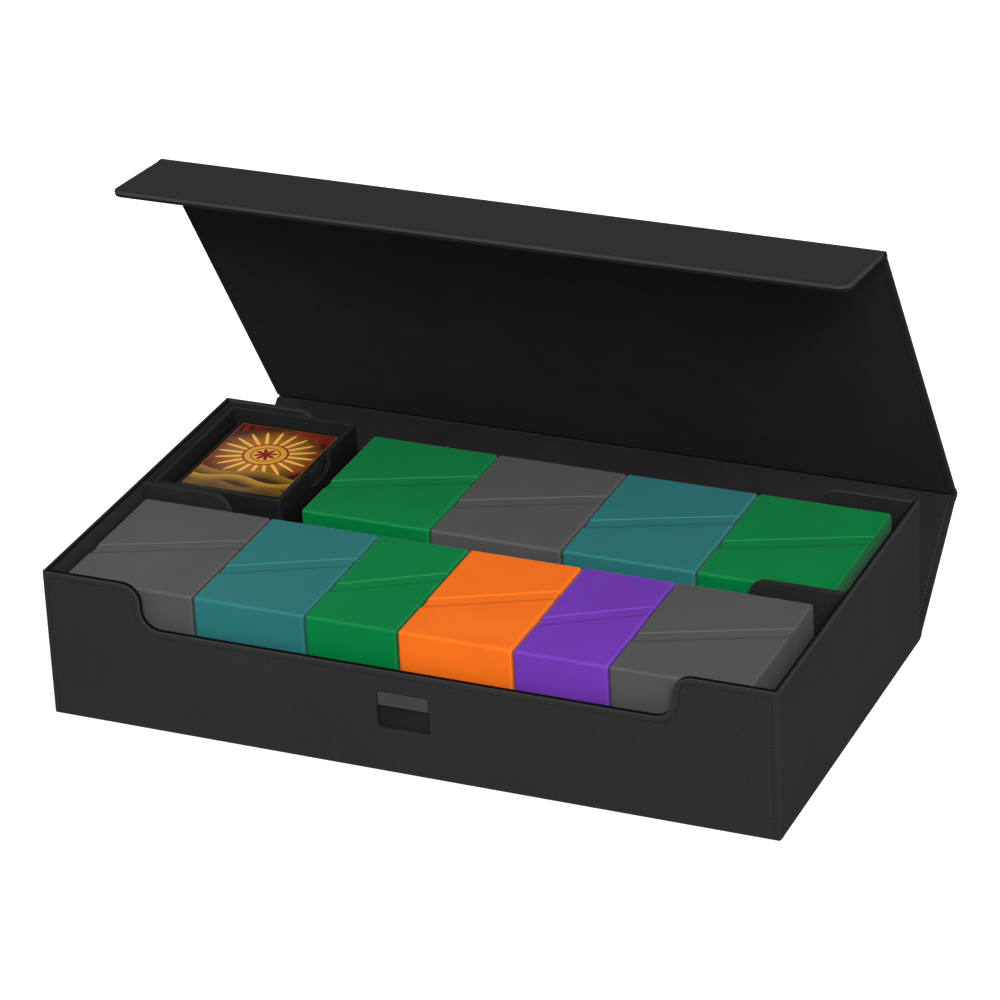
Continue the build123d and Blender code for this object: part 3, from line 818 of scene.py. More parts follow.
def draw_medallion(tree, x, y, mist, colours):
    """A ringed gold disc with a rosette, and its rays and glow over a misty red sky."""
    centre_height = 0.009
    mist_span = (0.38, 0.66)
    glow_span, glow_strength = (0.012, 0.034), (0.6, 0.0)
    ray_count = 20.0
    ray_span, ray_narrowing = (0.014, 0.03), (0.1, 1.05)
    pale_gain, pale_lift = 1.35, 0.06
    disc_radius = 0.0125
    ring_radii_and_widths = ((0.0131, 0.0006), (0.0085, 0.0004))
    petal_pairs = 4.0
    petal_span = (0.0022, 0.0072)

    raised = calculate(tree, "SUBTRACT", y, centre_height)
    squares = [calculate(tree, "POWER", one, 2.0) for one in (x, raised)]
    radius = calculate(tree, "SQRT", calculate(tree, "ADD", *squares))
    angle = calculate(tree, "ARCTAN2", raised, x)
    pale_gold = [min(1.0, pale_gain * value + pale_lift) for value in colours.card_gold]

    sky = mix_colours(tree, remap(tree, mist, mist_span, RISING), colours.card_dark, colours.card_red)
    glow = remap(tree, radius, glow_span, glow_strength)
    picture = mix_colours(tree, glow, sky, colours.card_gold)

    wave = calculate(tree, "SINE", calculate(tree, "MULTIPLY", angle, ray_count))
    rays = calculate(tree, "GREATER_THAN", wave, remap(tree, radius, ray_span, ray_narrowing))
    picture = mix_colours(tree, rays, picture, pale_gold)

    disc = calculate(tree, "LESS_THAN", radius, disc_radius)
    face = mix_colours(tree, remap(tree, radius, (0.0, disc_radius), RISING), pale_gold, colours.card_gold)
    picture = mix_colours(tree, disc, picture, face)
    for ring_radius, ring_width in ring_radii_and_widths:
        ring = calculate(tree, "COMPARE", radius, ring_radius, ring_width)
        picture = mix_colours(tree, ring, picture, colours.card_red)
    turns = calculate(tree, "SINE", calculate(tree, "MULTIPLY", angle, petal_pairs))
    petals = remap(tree, calculate(tree, "ABSOLUTE", turns), RISING, petal_span)
    rosette = calculate(tree, "LESS_THAN", radius, petals)
    return mix_colours(tree, rosette, picture, colours.card_red)


def draw_dunes(tree, x, y, picture, colours):
    """Rows of gold dunes that darken towards their feet."""
    shade_span, foot_tint = (0.0, 0.009), 0.06
    dunes = (
        Dune(crest=-0.014, swing=0.0030, waves=120.0, start=0.4, tint=0.55),
        Dune(crest=-0.022, swing=0.0026, waves=150.0, start=2.1, tint=0.85),
        Dune(crest=-0.031, swing=0.0022, waves=190.0, start=4.0, tint=0.3),
    )
    for dune in dunes:
        bend = calculate(tree, "SINE", calculate(tree, "MULTIPLY_ADD", x, dune.waves, dune.start))
        edge = calculate(tree, "MULTIPLY_ADD", bend, dune.swing, dune.crest)
        depth = calculate(tree, "SUBTRACT", edge, y)
        shade = remap(tree, depth, shade_span, (dune.tint, foot_tint))
        sand = mix_colours(tree, shade, colours.card_dark, colours.card_gold)
        picture = mix_colours(tree, calculate(tree, "LESS_THAN", y, edge), picture, sand)
    return picture


def draw_border(tree, x, y, half, picture, colours):
    """A dark border with a fine gold line inside it and the sleeve's edge outside."""
    border_width = 0.0028
    front_border_width = 0.008
    line_width = 0.0002
    line_gold_share = 0.4
    sleeve_width = 0.0007
    side = calculate(tree, "SUBTRACT", half.x, calculate(tree, "ABSOLUTE", x))
    end = calculate(tree, "SUBTRACT", half.y, calculate(tree, "ABSOLUTE", y))
    edge_distance = calculate(tree, "MINIMUM", side, end)
    from_front = calculate(tree, "ADD", y, half.y - front_border_width + border_width)
    frame_distance = calculate(tree, "MINIMUM", edge_distance, from_front)
    border = calculate(tree, "LESS_THAN", frame_distance, border_width)
    picture = mix_colours(tree, border, picture, colours.card_dark)
    line = calculate(tree, "COMPARE", frame_distance, border_width, line_width)
    line_tint = Vector(colours.card_dark).lerp(Vector(colours.card_gold), line_gold_share)
    picture = mix_colours(tree, line, picture, line_tint)
    sleeve = calculate(tree, "LESS_THAN", edge_distance, sleeve_width)
    return mix_colours(tree, sleeve, picture, colours.sleeve_edge)


class CARDBOX_OT_make_finishes(bpy.types.Operator):
    """Build the shared effects and the finish of every surface"""

    bl_idname = "card_box.make_finishes"
    bl_label = "Finishes"

    def execute(self, context):
        colours = context.scene.card_box_colours
        make_grain_group()
        make_nap_group()
        make_moulded_group()
        self.make_leather(colours)
        self.make_linings(colours)
        self.make_plastics(colours)
        make_card_face(colours)
        return {"FINISHED"}

    def make_leather(self, colours):
        """The leatherette of the box, and the darker one of the card tray."""
        make_finish(
            "Leatherette", GRAIN, {"Colour": colours.leatherette, "Roughness": 0.72, "Edge Wear": 0.6},
            bump=0.25, depth=0.0002, gloss=0.02,
        )
        make_finish(
            "Tray leatherette", GRAIN, {"Colour": colours.tray, "Roughness": 0.62, "Edge Wear": 1.2},
            bump=0.3, depth=0.0002, gloss=0.1,
        )

    def make_linings(self, colours):
        """The brushed linings and the grey board under them."""
        for name, tint, gloss, sheen in (
            ("Lining", colours.lining, 0.08, LINING_SHEEN),
            # The lining darkened as painted shade, for the lid
            ("Lid lining", colours.lid_lining, 0.08, LINING_SHEEN),
            # Dark lining with painted shade, for the rim and the flap's groove
            ("Edge lining", colours.edging_and_shade, 0.04, NO_SHEEN),
            # Painted shade inside the finger recess
            ("Recess lining", colours.recess, 0.05, NO_SHEEN),
        ):
            make_finish(name, NAP, {"Colour": tint}, bump=0.3, depth=0.0002, gloss=gloss, sheen=sheen)
        make_finish(
            "Grey board", NAP, {"Colour": colours.board, "Patch Scale": 60.0},
            bump=0.4, depth=0.0002, gloss=0.2,
        )

    def make_plastics(self, colours):
        """What is moulded, spun or plated: threads, badge, cases, sleeves and steel."""
        for name, tint in (("Thread", colours.thread), ("Pale thread", colours.pale_thread)):
            make_finish(
                name, MOULDED, {"Colour": tint, "Roughness": 0.5, "Frost Scale": 5200.0},
                bump=0.6, depth=0.0001, gloss=0.1,
            )
        make_finish(
            "Badge plate", MOULDED, {"Colour": colours.badge, "Roughness": 0.42, "Frost Scale": 3200.0},
            bump=0.1, depth=0.00005, gloss=0.3,
        )
        # The cases get a painted highlight on their edges and painted shade beside their band.
        for slot, name in CASE_FINISHES.items():
            tint = getattr(colours, slot)
            make_finish(
                name, MOULDED,
                {"Colour": tint, "Roughness": 0.5, "Edge Rub": 0.01, "Crease Shade": 0.45},
                bump=0.12, depth=0.00006, gloss=0.04, sheen=FROST_SHEEN,
            )
        make_finish(
            "Card sleeves", MOULDED, {"Colour": colours.sleeves, "Roughness": 0.35},
            bump=0.05, depth=0.00005, gloss=0.4,
        )
        make_finish(
            "Plated steel", MOULDED, {"Colour": colours.steel, "Roughness": 0.3},
            bump=0.1, depth=0.00005, gloss=0.5, metallic=1.0,
        )


class CARDBOX_OT_make_stage(bpy.types.Operator):
    """Lay the pale floor, hang the soft lights and set up the camera"""

    bl_idname = "card_box.make_stage"
    bl_label = "Stage"

    def execute(self, context):
        scene = context.scene
        stage = scene.card_box_stage
        scene.view_settings.view_transform = "Standard"
        self.make_floor(scene)
        self.make_light(scene, stage)
        self.make_camera(scene, stage)
        return {"FINISHED"}

    def make_floor(self, scene):
        """A wide pale floor just under the object.

        Only the camera sees it so pale. It is duller in the light that it throws back and in gloss.
        """
        half_size = 6.0
        drop = 0.0003
        colours = scene.card_box_colours
        tree, shader = new_material("Floor")
        feed(tree, shader.inputs, {
            "Base Color": colours.floor,
            "Emission Color": colours.floor,
            "Emission Strength": 0.4,
            "Roughness": 0.9,
            "Specular IOR Level": 0.1,
        })
        rays = add_node(tree, "LightPath").outputs
        bounce = mix_colours(tree, rays["Is Glossy Ray"], colours.floor_bounce, colours.floor_gloss)
        dull = add_node(tree, "BsdfDiffuse", {"Color": bounce}).outputs["BSDF"]
        both = add_node(tree, "MixShader", {0: rays["Is Camera Ray"], 1: dull, 2: shader.outputs["BSDF"]})
        feed(tree, tree.nodes["Material Output"].inputs, {"Surface": both.outputs["Shader"]})
        bm = bmesh.new()
        bmesh.ops.create_grid(bm, x_segments=1, y_segments=1, size=half_size)
        mesh = bpy.data.meshes.new("floor")
        bm.to_mesh(mesh)
        bm.free()
        mesh.materials.append(bpy.data.materials["Floor"])
        floor = bpy.data.objects.new("floor", mesh)
        floor.location.z = -drop
        scene.collection.objects.link(floor)

    def make_light(self, scene, stage):
        """Even white light all round, a broad lamp above the camera and a low one on the right."""
        world = bpy.data.worlds.new("Studio")
        world.use_nodes = True
        background = world.node_tree.nodes["Background"]
        feed(world.node_tree, background.inputs, {"Color": WHITE, "Strength": stage.ambient})
        scene.world = world
        for name in ("key", "side"):
            lamp = bpy.data.lights.new(f"{name}_lamp", "SUN")
            lamp.energy = getattr(stage, f"{name}_strength")
            lamp.angle = getattr(stage, f"{name}_spread")
            holder = bpy.data.objects.new(f"{name}_lamp", lamp)
            lean = pi / 2 - getattr(stage, f"{name}_elevation")
            holder.rotation_euler = (lean, 0, getattr(stage, f"{name}_azimuth"))
            scene.collection.objects.link(holder)

    def make_camera(self, scene, stage):
        """A long lens at the photograph's angle."""
        flat = cos(stage.elevation)
        back = Vector((sin(stage.azimuth) * flat, -cos(stage.azimuth) * flat, sin(stage.elevation)))
        right = Vector((cos(stage.azimuth), sin(stage.azimuth), 0))
        up = back.cross(right)
        tilted_right = cos(stage.roll) * right + sin(stage.roll) * up
        tilted_up = cos(stage.roll) * up - sin(stage.roll) * right
        place = stage.shift_right * tilted_right + stage.shift_up * tilted_up + stage.distance * back
        data = bpy.data.cameras.new("camera")
        data.sensor_width = SENSOR_WIDTH_MM
        data.lens = stage.focal_length
        camera = bpy.data.objects.new("camera", data)
        axes = Matrix((tilted_right, tilted_up, back)).transposed()
        camera.matrix_world = Matrix.Translation(place) @ axes.to_4x4()
        scene.collection.objects.link(camera)
        scene.camera = camera


class CARDBOX_OT_dress_inside(bpy.types.Operator):
    """Line the base and give the boards, discs and magnets their finishes"""

    bl_idname = "card_box.dress_inside"
    bl_label = "Linings and boards"

    finish_of_slot = {
        "leatherette": "Leatherette",
        "lining": "Lining",
        "board": "Grey board",
        "tray": "Tray leatherette",
        "badge": "Badge plate",
        "steel": "Plated steel",
        "magnet": "Plated steel",
        "card_sleeves": "Card sleeves",
        "card_face": "Card face",
        **CASE_FINISHES,
    }

    def execute(self, context):
        for node, slot in SLOT_OF_NODE.items():
            dress([node], self.finish_of_slot[slot])
        # The lid and flap linings get the darkened copy of the lining, as painted shade.
        dress(["lid_lining", "flap_lining"], "Lid lining")
        return {"FINISHED"}


def cutout_wall(half_width, top, reach, sizes, shoulder, valley):
    """Rim of a long wall: level shoulders, S-curves and a level valley.

    Points are added at places on the right shoulder, at their mirror on the left one, and in the valley.
    """
    radius = sizes.cutout_radius
    curves = cutout(half_width - sizes.shoulder_width, top, sizes.cutout_depth, radius, radius, reach)
    middle = len(curves) // 2
    return (
        level([-place for place in shoulder], top)
        + curves[:middle]
        + level(valley, top - sizes.cutout_depth)
        + curves[middle:]
        + level(reversed(shoulder), top)
    )


def base_walls(sizes):
    """The base's four walls, with points where the seams and the finger recess need them."""
    low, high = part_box("outer_wrap")
    corner = sizes.wall_corner_radius
    seam = high.x - sizes.stitch_margin
    half_groove = sizes.groove_width / 2
    shoulder = [high.x - corner, seam + half_groove, seam, seam - half_groove]
    valley = [place.x for place in pocket_window(sizes)]
    reach = sizes.stitch_margin + sizes.groove_width
    long_wall = cutout_wall(high.x, high.z, reach, sizes, shoulder, valley)
    side_wall = level([corner - high.y, high.y - corner], high.z)
    return WallRing(low, high, corner, [long_wall, side_wall, long_wall, side_wall])


def pocket_mouth(sizes):
    """Corners of the pocket in the front wall that holds the badge and the finger recess."""
    low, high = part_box("badge_plate")
    gap = sizes.badge_clearance
    return low - Vector((gap, 0, gap + sizes.recess_height)), high + Vector((gap, 0, gap))


def pocket_window(sizes):
    """Corners of the patch of the front wall that the pocket is let into."""
    low, high = pocket_mouth(sizes)
    margin = WINDOW_MARGIN_SHARE * sizes.recess_corner_radius * (ALONG_X + UP)
    return low - margin, high + margin


class CARDBOX_OT_make_base(bpy.types.Operator):
    """Wrap the base in leatherette, over its rim and S-curves and into the finger recess"""

    bl_idname = "card_box.make_base"
    bl_label = "Base"

    def execute(self, context):
        sizes = context.scene.card_box_sizes
        self.make_wrap(sizes)
        self.make_bottom(sizes)
        return {"FINISHED"}

    def make_wrap(self, sizes):
        """One closed skin: up the outer faces, over the rim and back down behind it."""
        walls = base_walls(sizes)
        low = walls.low
        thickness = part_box("front_wall_lining")[1].y - low.y
        heights = [low.z] + [place.z for place in pocket_window(sizes)]
        half_groove = sizes.groove_width / 2
        seam_ring = walls.below_rim(sizes.stitch_margin, 0)
        lower_rings = [walls.at_height(height, 0) for height in heights]
        for depth in (sizes.stitch_margin + sizes.groove_width, sizes.stitch_margin + half_groove):
            lower_rings.append(walls.below_rim(depth, 0))
        self.press_seams(walls, sizes, lower_rings, seam_ring)
        rings = lower_rings + [seam_ring, walls.below_rim(sizes.stitch_margin - half_groove, 0)]
        rim_start = len(rings)
        rim = walls.rim(thickness, sizes.rim_radius, sizes.skin)
        rim.insert(len(QUARTER_TURN), walls.below_rim(0, thickness / 2))
        rings += rim + [walls.below_rim(sizes.skin, sizes.skin)]
        rings += [walls.at_height(height, sizes.skin) for height in reversed(heights)]
        bm = bmesh.new()
        # The rim's roundings are painted pale, as abrasion and painted highlight.
        shades = [0.0] * rim_start + ROUNDING_WEAR_AND_HIGHLIGHT + [0.0] + ROUNDING_WEAR_AND_HIGHLIGHT
        loops = loft_with_shades(bm, "worn", rings, shades, close_loop=True)
        self.paint_rim_lining_and_shade(walls, loops[rim_start + ROUND_STEPS:])
        self.press_pocket(bm, low.y, 0, sizes)
        self.press_pocket(bm, low.y + sizes.skin, sizes.skin, sizes)
        more_finishes = ["Recess lining", "Edge lining"]
        make_piece("base_wrap", bm, "Leatherette", "base", ["outer_wrap"], more_finishes)

    def paint_rim_lining_and_shade(self, walls, loops):
        """Paint the dark edge finish, dark lining with painted shade, over the whole front rim and on the
        inner half of the side rims. The rear rim stays leatherette.
        """
        front = [number for number, station in enumerate(walls.stations) if station.wall == FRONT_WALL]
        dark_rim_stations = [number for number, station in enumerate(walls.stations) if station.wall != REAR_WALL]
        paint([[loop[number] for number in front] for loop in loops[:2]], RIM_LINING_AND_SHADE_FINISH)
        paint([[loop[number] for number in dark_rim_stations] for loop in loops[1:]], RIM_LINING_AND_SHADE_FINISH)

    def press_seams(self, walls, sizes, lower_rings, seam_ring):
        """Pull the front face in along its seams."""
        seam = walls.high.x - sizes.stitch_margin
        for number, station in enumerate(walls.stations):
            if station.wall != FRONT_WALL or abs(station.rim.x) > seam + MERGE_DISTANCE:
                continue
            seam_ring[number].y += sizes.groove_depth
            if abs(abs(station.rim.x) - seam) < MERGE_DISTANCE:
                for ring in lower_rings:
                    ring[number].y += sizes.groove_depth

    def press_pocket(self, bm, face, grown, sizes):
        """Replace a patch of the front wall by a round pocket. Where it is grown, its edge is sharp."""
        low, high = pocket_window(sizes)
        middle = (low + high) / 2
        middle.y = face
        patch = min(bm.faces, key=lambda one: (one.calc_center_median() - middle).length)
        border = list(patch.edges)
        bmesh.ops.delete(bm, geom=[patch], context="FACES_ONLY")
        mouth_low, mouth_high = pocket_mouth(sizes)
        edge = [(0.0, 0.0)] if grown else rounding(sizes.recess_edge_radius, POCKET_ROUND_STEPS)
        rings = []
        for outset, sink in edge + [(0.0, sizes.recess_depth)]:
            inset = -grown - outset
            rings.append(upright_ring(mouth_low, mouth_high, inset, sizes.recess_corner_radius, face + sink))
        before = set(bm.faces)
        loops = loft(bm, rings, close_ends=False)
        bm.faces.new(loops[-1])
        # The pocket's faces get the darker recess finish, as painted shade.
        for one in set(bm.faces) - before:
            one.material_index = RECESS_SHADE_FINISH
        mouth = loops[0]
        rim = [bm.edges.get((one, after)) for one, after in zip(mouth, mouth[1:] + mouth[:1])]
        bmesh.ops.triangle_fill(bm, edges=border + rim, use_beauty=True)

    def make_bottom(self, sizes):
        """The leatherette under the floor, with its lower edge rounded."""
        low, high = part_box("bottom_cover")
        corner = sizes.wall_corner_radius
        edge = rounding(BOTTOM_EDGE_SHARE * (high.z - low.z))
        rings = [level_ring(low, high, inset, corner, low.z + rise) for inset, rise in edge]
        rings.append(level_ring(low, high, 0.0, corner, high.z))
        make_piece("base_bottom", lofted(rings), "Leatherette", "base", ["bottom_cover"])


class CARDBOX_OT_make_divider(bpy.types.Operator):
    """Fold the lining over the divider between the two rows"""

    bl_idname = "card_box.make_divider"
    bl_label = "Divider"

    def execute(self, context):
        sizes = context.scene.card_box_sizes
        low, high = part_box("divider_wrap")
        wall_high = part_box("outer_wrap")[1]
        reach = (high.y - low.y) / 2
        profile = cutout_wall(wall_high.x, high.z, reach, sizes, [high.x], [])
        rings = [self.section(point, low, high, sizes) for point in profile]
        make_piece("divider_lining", lofted(rings), "Lining", "base", ["divider_wrap"])
        return {"FINISHED"}

    def section(self, point, low, high, sizes):
        """The folded lining at one point of the rim: a hairpin round the board."""
        half = (high.y - low.y) / 2
        radius = DIVIDER_EDGE_SHARE * half
        rim = Vector((point.place, 0, point.height))
        up = Vector((point.up_along, 0, point.up_height))
        foot = Vector((point.foot, 0, low.z))
        outer = [foot - half * ALONG_Y]
        for step in range(2 * ROUND_STEPS + 1):
            angle = pi - step / (2 * ROUND_STEPS) * pi
            across = (half - radius) * (1 if angle < pi / 2 else -1) + radius * cos(angle)
            outer.append(rim - radius * (1 - sin(angle)) * up + across * ALONG_Y)
        outer.append(foot + half * ALONG_Y)
        inner_half = half - sizes.skin
        inner_rim = rim - sizes.skin * up
        inner = [
            foot + inner_half * ALONG_Y,
            inner_rim + inner_half * ALONG_Y,
            inner_rim - inner_half * ALONG_Y,
            foot - inner_half * ALONG_Y,
        ]
        return outer + inner


class CARDBOX_OT_make_badge(bpy.types.Operator):
    """Set the bare plate above the finger recess"""

    bl_idname = "card_box.make_badge"
    bl_label = "Badge plate"

    def execute(self, context):
        sizes = context.scene.card_box_sizes
        low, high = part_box("badge_plate")
        corner = sizes.badge_corner_radius
        rings = [upright_ring(low, high, 0.0, corner, high.y)]
        for inset, depth in reversed(rounding(sizes.badge_edge_radius)):
            rings.append(upright_ring(low, high, inset, corner, low.y + depth))
        make_piece("badge", lofted(rings), "Badge plate", "base", ["badge_plate"])
        return {"FINISHED"}


class CARDBOX_OT_make_cover(bpy.types.Operator):
    """Cover the spine, lid and flap in leatherette that is turned in round their linings"""

    bl_idname = "card_box.make_cover"
    bl_label = "Cover panels"

    inner_finish = {"spine": "Lining", "lid": "Lid lining", "flap": "Lid lining"}

    def execute(self, context):
        sizes = context.scene.card_box_sizes
        for name, panel in cover_panels(sizes).items():
            pocket = self.pocket_places(sizes)
            under, over = self.flap_edge(sizes) if name == "flap" else self.plain_edge(sizes)
            rings = [self.ring(name, panel, inset, inset, height, sizes) for inset, height in pocket]
            for inset, height in under + over:
                rings.append(self.ring(name, panel, inset, FOLD_EDGE_SHARE * inset, height, sizes))
            bm = bmesh.new()
            dark = len(pocket) + len(under)
            # Only the flap's bead is painted pale, as abrasion and painted highlight.
            flap_wear_and_highlight = ROUNDING_WEAR_AND_HIGHLIGHT if name == "flap" else []
            loops = loft_with_shades(bm, "worn", rings, [0.0] * dark + flap_wear_and_highlight)
            # The turned-in margin and the inner half of the edge take the panel's lining finish, partly as
            # the flap's lower layer and partly as painted shade.
            paint(loops[:dark + 1], UNDER_EDGE_SHADE_FINISH)
            if name == "flap":
                # The groove between the flap's layers is painted dark, as painted shade.
                paint(loops[dark - GROOVE_RINGS:dark + 1], GROOVE_SHADE_FINISH)
            make_piece(
                f"{name}_skin", bm, "Leatherette", name, [f"{name}_cover"],
                [self.inner_finish[name], "Edge lining"],
            )
        return {"FINISHED"}

    def pocket_places(self, sizes):
        """Places (inset, height) from the floor of the board's pocket to the edge of the panel's lining."""
        inner_face = sizes.panel_thickness - sizes.skin
        return [
            (sizes.skin, sizes.skin),
            (sizes.skin, inner_face),
            (sizes.lining_margin, inner_face),
            (sizes.lining_margin, sizes.panel_thickness),
        ]

    def plain_edge(self, sizes):
        """Places over a round edge: from the inner face to the middle, and on to the outer face."""
        edge = rounding(sizes.panel_edge_radius)
        under = [(inset, sizes.panel_thickness - depth) for inset, depth in edge]
        return under, list(reversed(edge))

    def flap_edge(self, sizes):
        """Places over the flap's edge: a lower layer, a groove, and the outer skin that ends in a bead."""
        step, groove = sizes.under_edge_step, sizes.edge_groove
        middle = sizes.panel_thickness / 2
        top = middle - 2 * groove
        crest, swell = sizes.bead_crest, sizes.bead_height
        under = []
        for inset, depth in rounding(sizes.under_edge_radius):
            under.append((step + inset, sizes.panel_thickness - depth))
        under += [(step, middle + groove), (step + groove, middle)]
        over = [(0.0, middle - groove)]
        over += [(crest * (1 - cos(angle)), top - (top + swell) * sin(angle)) for angle in QUARTER_TURN]
        for share in BEAD_SLOPE_SHARES:
            inset = crest + (sizes.bead_width - crest) * share
            over.append((inset, -swell * (1 + cos(pi * share)) / 2))
        return under, over

    def ring(self, name, panel, inset, fold_inset, height, sizes):
        """The panel's outline at a height, drawn in from its free edges and from its folds."""
        half_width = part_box(f"{name}_cover")[1].x
        free_end = name == "flap"
        far_inset = inset if free_end else fold_inset
        near_radius = sizes.panel_corner_radius
        far_radius = sizes.flap_corner_radius if free_end else near_radius
        radii = [max(radius - inset, 0.0) for radius in (far_radius, far_radius, near_radius, near_radius)]
        low = (-half_width + inset, panel.start + fold_inset)
        high = (half_width - inset, panel.end - far_inset)
        outline = rounded_rectangle(low, high, radii, FLAP_CORNER_STEPS)
        ring = []
        for point in outline:
            rise_share = (point.y - panel.start) / (panel.end - panel.start) if height < 0 else 1.0
            ring.append(panel.at(point.x, point.y, height * rise_share))
        return ring


class CARDBOX_OT_make_folds(bpy.types.Operator):
    """Bridge the folds with leatherette"""

    bl_idname = "card_box.make_folds"
    bl_label = "Folds"

    def execute(self, context):
        sizes = context.scene.card_box_sizes
        panels = cover_panels(sizes)
        for name, before, after in (("lid", "spine", "lid"), ("flap", "lid", "flap")):
            path = self.fold_path(panels[before], panels[after], sizes)
            self.make_strip(f"{name}_fold", path, f"{name}_hinge_strip", before, after, sizes)
        path = self.spine_path(panels["spine"], sizes)
        self.make_strip("spine_fold", path, "spine_hinge_strip", "base", "spine", sizes)
        return {"FINISHED"}

    def fold_path(self, before, after, sizes):
        """Points and inward directions of a round fold between two panels."""
        half_turn = (after.angle - before.angle) / 2
        tangent = sizes.fold_radius * tan(half_turn)
        centre = after.hinge - tangent * before.along + sizes.fold_radius * before.inwards
        sink = sizes.fold_sink
        distances = (sizes.fold_room + sizes.fold_overlap, sizes.fold_room)
        path = []
        for away in distances:
            path.append((after.hinge - away * before.along + sink * before.inwards, before.inwards))
        for step in range(FOLD_STEPS + 1):
            angle = before.angle + 2 * half_turn * step / FOLD_STEPS
            inwards = Vector((0, -sin(angle), cos(angle)))
            path.append((centre - sizes.fold_radius * inwards, inwards))
        path += [(after.at(0, away, sink), after.inwards) for away in reversed(distances)]
        return path

    def spine_path(self, spine, sizes):
        """Points and inward directions of the leatherette from under the base to the spine."""
        low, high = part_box("bottom_cover")
        start = Vector((0, high.y, low.z))
        end = spine.at(0, spine.start, 0)
        sink = sizes.fold_sink
        path = [(start - sizes.fold_overlap * ALONG_Y + sink * UP, UP)]
        for step in range(FOLD_STEPS + 1):
            share = step / FOLD_STEPS
            angle = spine.angle * share
            path.append((start.lerp(end, share), Vector((0, -sin(angle), cos(angle)))))
        path.append((spine.at(0, spine.start + sizes.fold_overlap, sink), spine.inwards))
        return path

    def make_strip(self, name, path, node, before, after, sizes):
        """A strip as wide as the cover, reaching into the panels by its overlaps."""
        half_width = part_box(node)[1].x
        section = self.section(half_width, sizes)
        rings = []
        for place, inwards in path:
            rings.append([place + x * ALONG_X + height * inwards for x, height in section])
        strip = make_piece(name, lofted(rings), "Leatherette", None, [node])
        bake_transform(strip)

    def section(self, half_width, sizes):
        """Places (x, height) round the strip's section, with its edges rounded."""
        radius = sizes.skin / 2
        places = []
        for side in (1, -1):
            for step in range(ROUND_STEPS + 1):
                angle = (step / ROUND_STEPS - 0.5) * pi
                across = half_width - radius + radius * cos(angle)
                places.append((side * across, radius + side * radius * sin(angle)))
        return places


class CARDBOX_OT_make_stitches(bpy.types.Operator):
    """Sew the seams of the base's front and of the cover"""

    bl_idname = "card_box.make_stitches"
    bl_label = "Stitches"

    def execute(self, context):
        sizes = context.scene.card_box_sizes
        self.sew_base(sizes)
        for name, panel in cover_panels(sizes).items():
            self.sew_panel(name, panel, sizes)
        return {"FINISHED"}

    def sew_base(self, sizes):
        """A seam below the front rim and one up each side of the front."""
        walls = base_walls(sizes)
        seam = walls.high.x - sizes.stitch_margin
        face = walls.low.y + sizes.groove_depth
        ring = walls.below_rim(sizes.stitch_margin, 0)
        rim_path = []
        for station, point in zip(walls.stations, ring):
            if station.wall == FRONT_WALL and abs(station.rim.x) < seam + MERGE_DISTANCE:
                rim_path.append(Vector((point.x, face, point.z)))
        bm = bmesh.new()
        out = -ALONG_Y
        add_stitches(bm, rim_path, out, sizes)
        for side in (-1, 1):
            low = Vector((side * seam, face, walls.low.z + sizes.stitch_margin))
            high = Vector((side * seam, face, walls.high.z - sizes.stitch_margin - sizes.stitch_pitch))
            add_stitches(bm, [low, high], out, sizes)
        make_piece("base_stitches", bm, "Thread", "base")

    def sew_panel(self, name, panel, sizes):
        """Seams along the free edges of a panel, on its outer and inner faces."""
        inner_thread = "Pale thread" if name == "spine" else "Thread"
        for side, height, out, thread in (
            ("outer", 0.0, -panel.inwards, "Thread"),
            ("inner", sizes.panel_thickness, panel.inwards, inner_thread),
        ):
            bm = bmesh.new()
            for path in self.seam_paths(name, panel, sizes):
                add_stitches(bm, [panel.at(point.x, point.y, height) for point in path], out, sizes)
            make_piece(f"{name}_{side}_stitches", bm, thread, name)

    def seam_paths(self, name, panel, sizes):
        """Seams in the panel's plane: up both sides, and round the flap's free end."""
        margin = sizes.stitch_margin
        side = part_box(f"{name}_cover")[1].x - margin
        start = panel.start + margin
        end = panel.end - margin
        if name != "flap":
            return [[Vector((x, start)), Vector((x, end))] for x in (-side, side)]
        radius = sizes.flap_corner_radius - margin
        right = [point for point, _ in arc(Vector((side - radius, end - radius)), radius, 0, 90)]
        left = [point for point, _ in arc(Vector((radius - side, end - radius)), radius, 90, 180)]
        return [[Vector((side, start)), *right, *left, Vector((-side, start))]]


class CARDBOX_OT_make_tray(bpy.types.Operator):
    """Make the card tray's walls, with their round rim and thumb notch"""

    bl_idname = "card_box.make_tray"
    bl_label = "Card tray"

    def execute(self, context):
        sizes = context.scene.card_box_sizes
        nodes = [f"tray_{side}_wall" for side in ("front", "rear", "left", "right")]
        low, high = extent(*nodes)
        half = (high - low) / 2
        corner = sizes.tray_corner_radius
        end_wall = level([corner - half.x, half.x - corner], high.z)
        side_wall = level([corner - half.y, half.y - corner], high.z)
        radius = sizes.tray_rim_radius
        notch = cutout(
            sizes.notch_width / 2, high.z, sizes.notch_depth,
            sizes.notch_lip_radius, sizes.notch_radius, radius,
        )
        notched_wall = side_wall[:1] + notch + side_wall[1:]
        walls = WallRing(low, high, corner, [end_wall, notched_wall, end_wall, side_wall])
        rings = [walls.at_height(low.z, 0)]
        rings += walls.rim(sizes.tray_wall, radius, radius)
        rings.append(walls.at_height(low.z, sizes.tray_wall))
        bm = bmesh.new()
        # The rim's inner rounding is painted pale, as abrasion and painted highlight.
        outer_side = [0.0] * (1 + len(QUARTER_TURN))
        loops = loft_with_shades(bm, "worn", rings, outer_side + ROUNDING_WEAR_AND_HIGHLIGHT + [0.0], close_loop=True)
        # The top of the tray's rim takes the darkened lid finish.
        paint(loops[len(QUARTER_TURN):len(QUARTER_TURN) + 2], TRAY_RIM_FINISH)
        make_piece("tray_walls", bm, "Tray leatherette", "card_tray", nodes, ["Lid lining"])
        return {"FINISHED"}


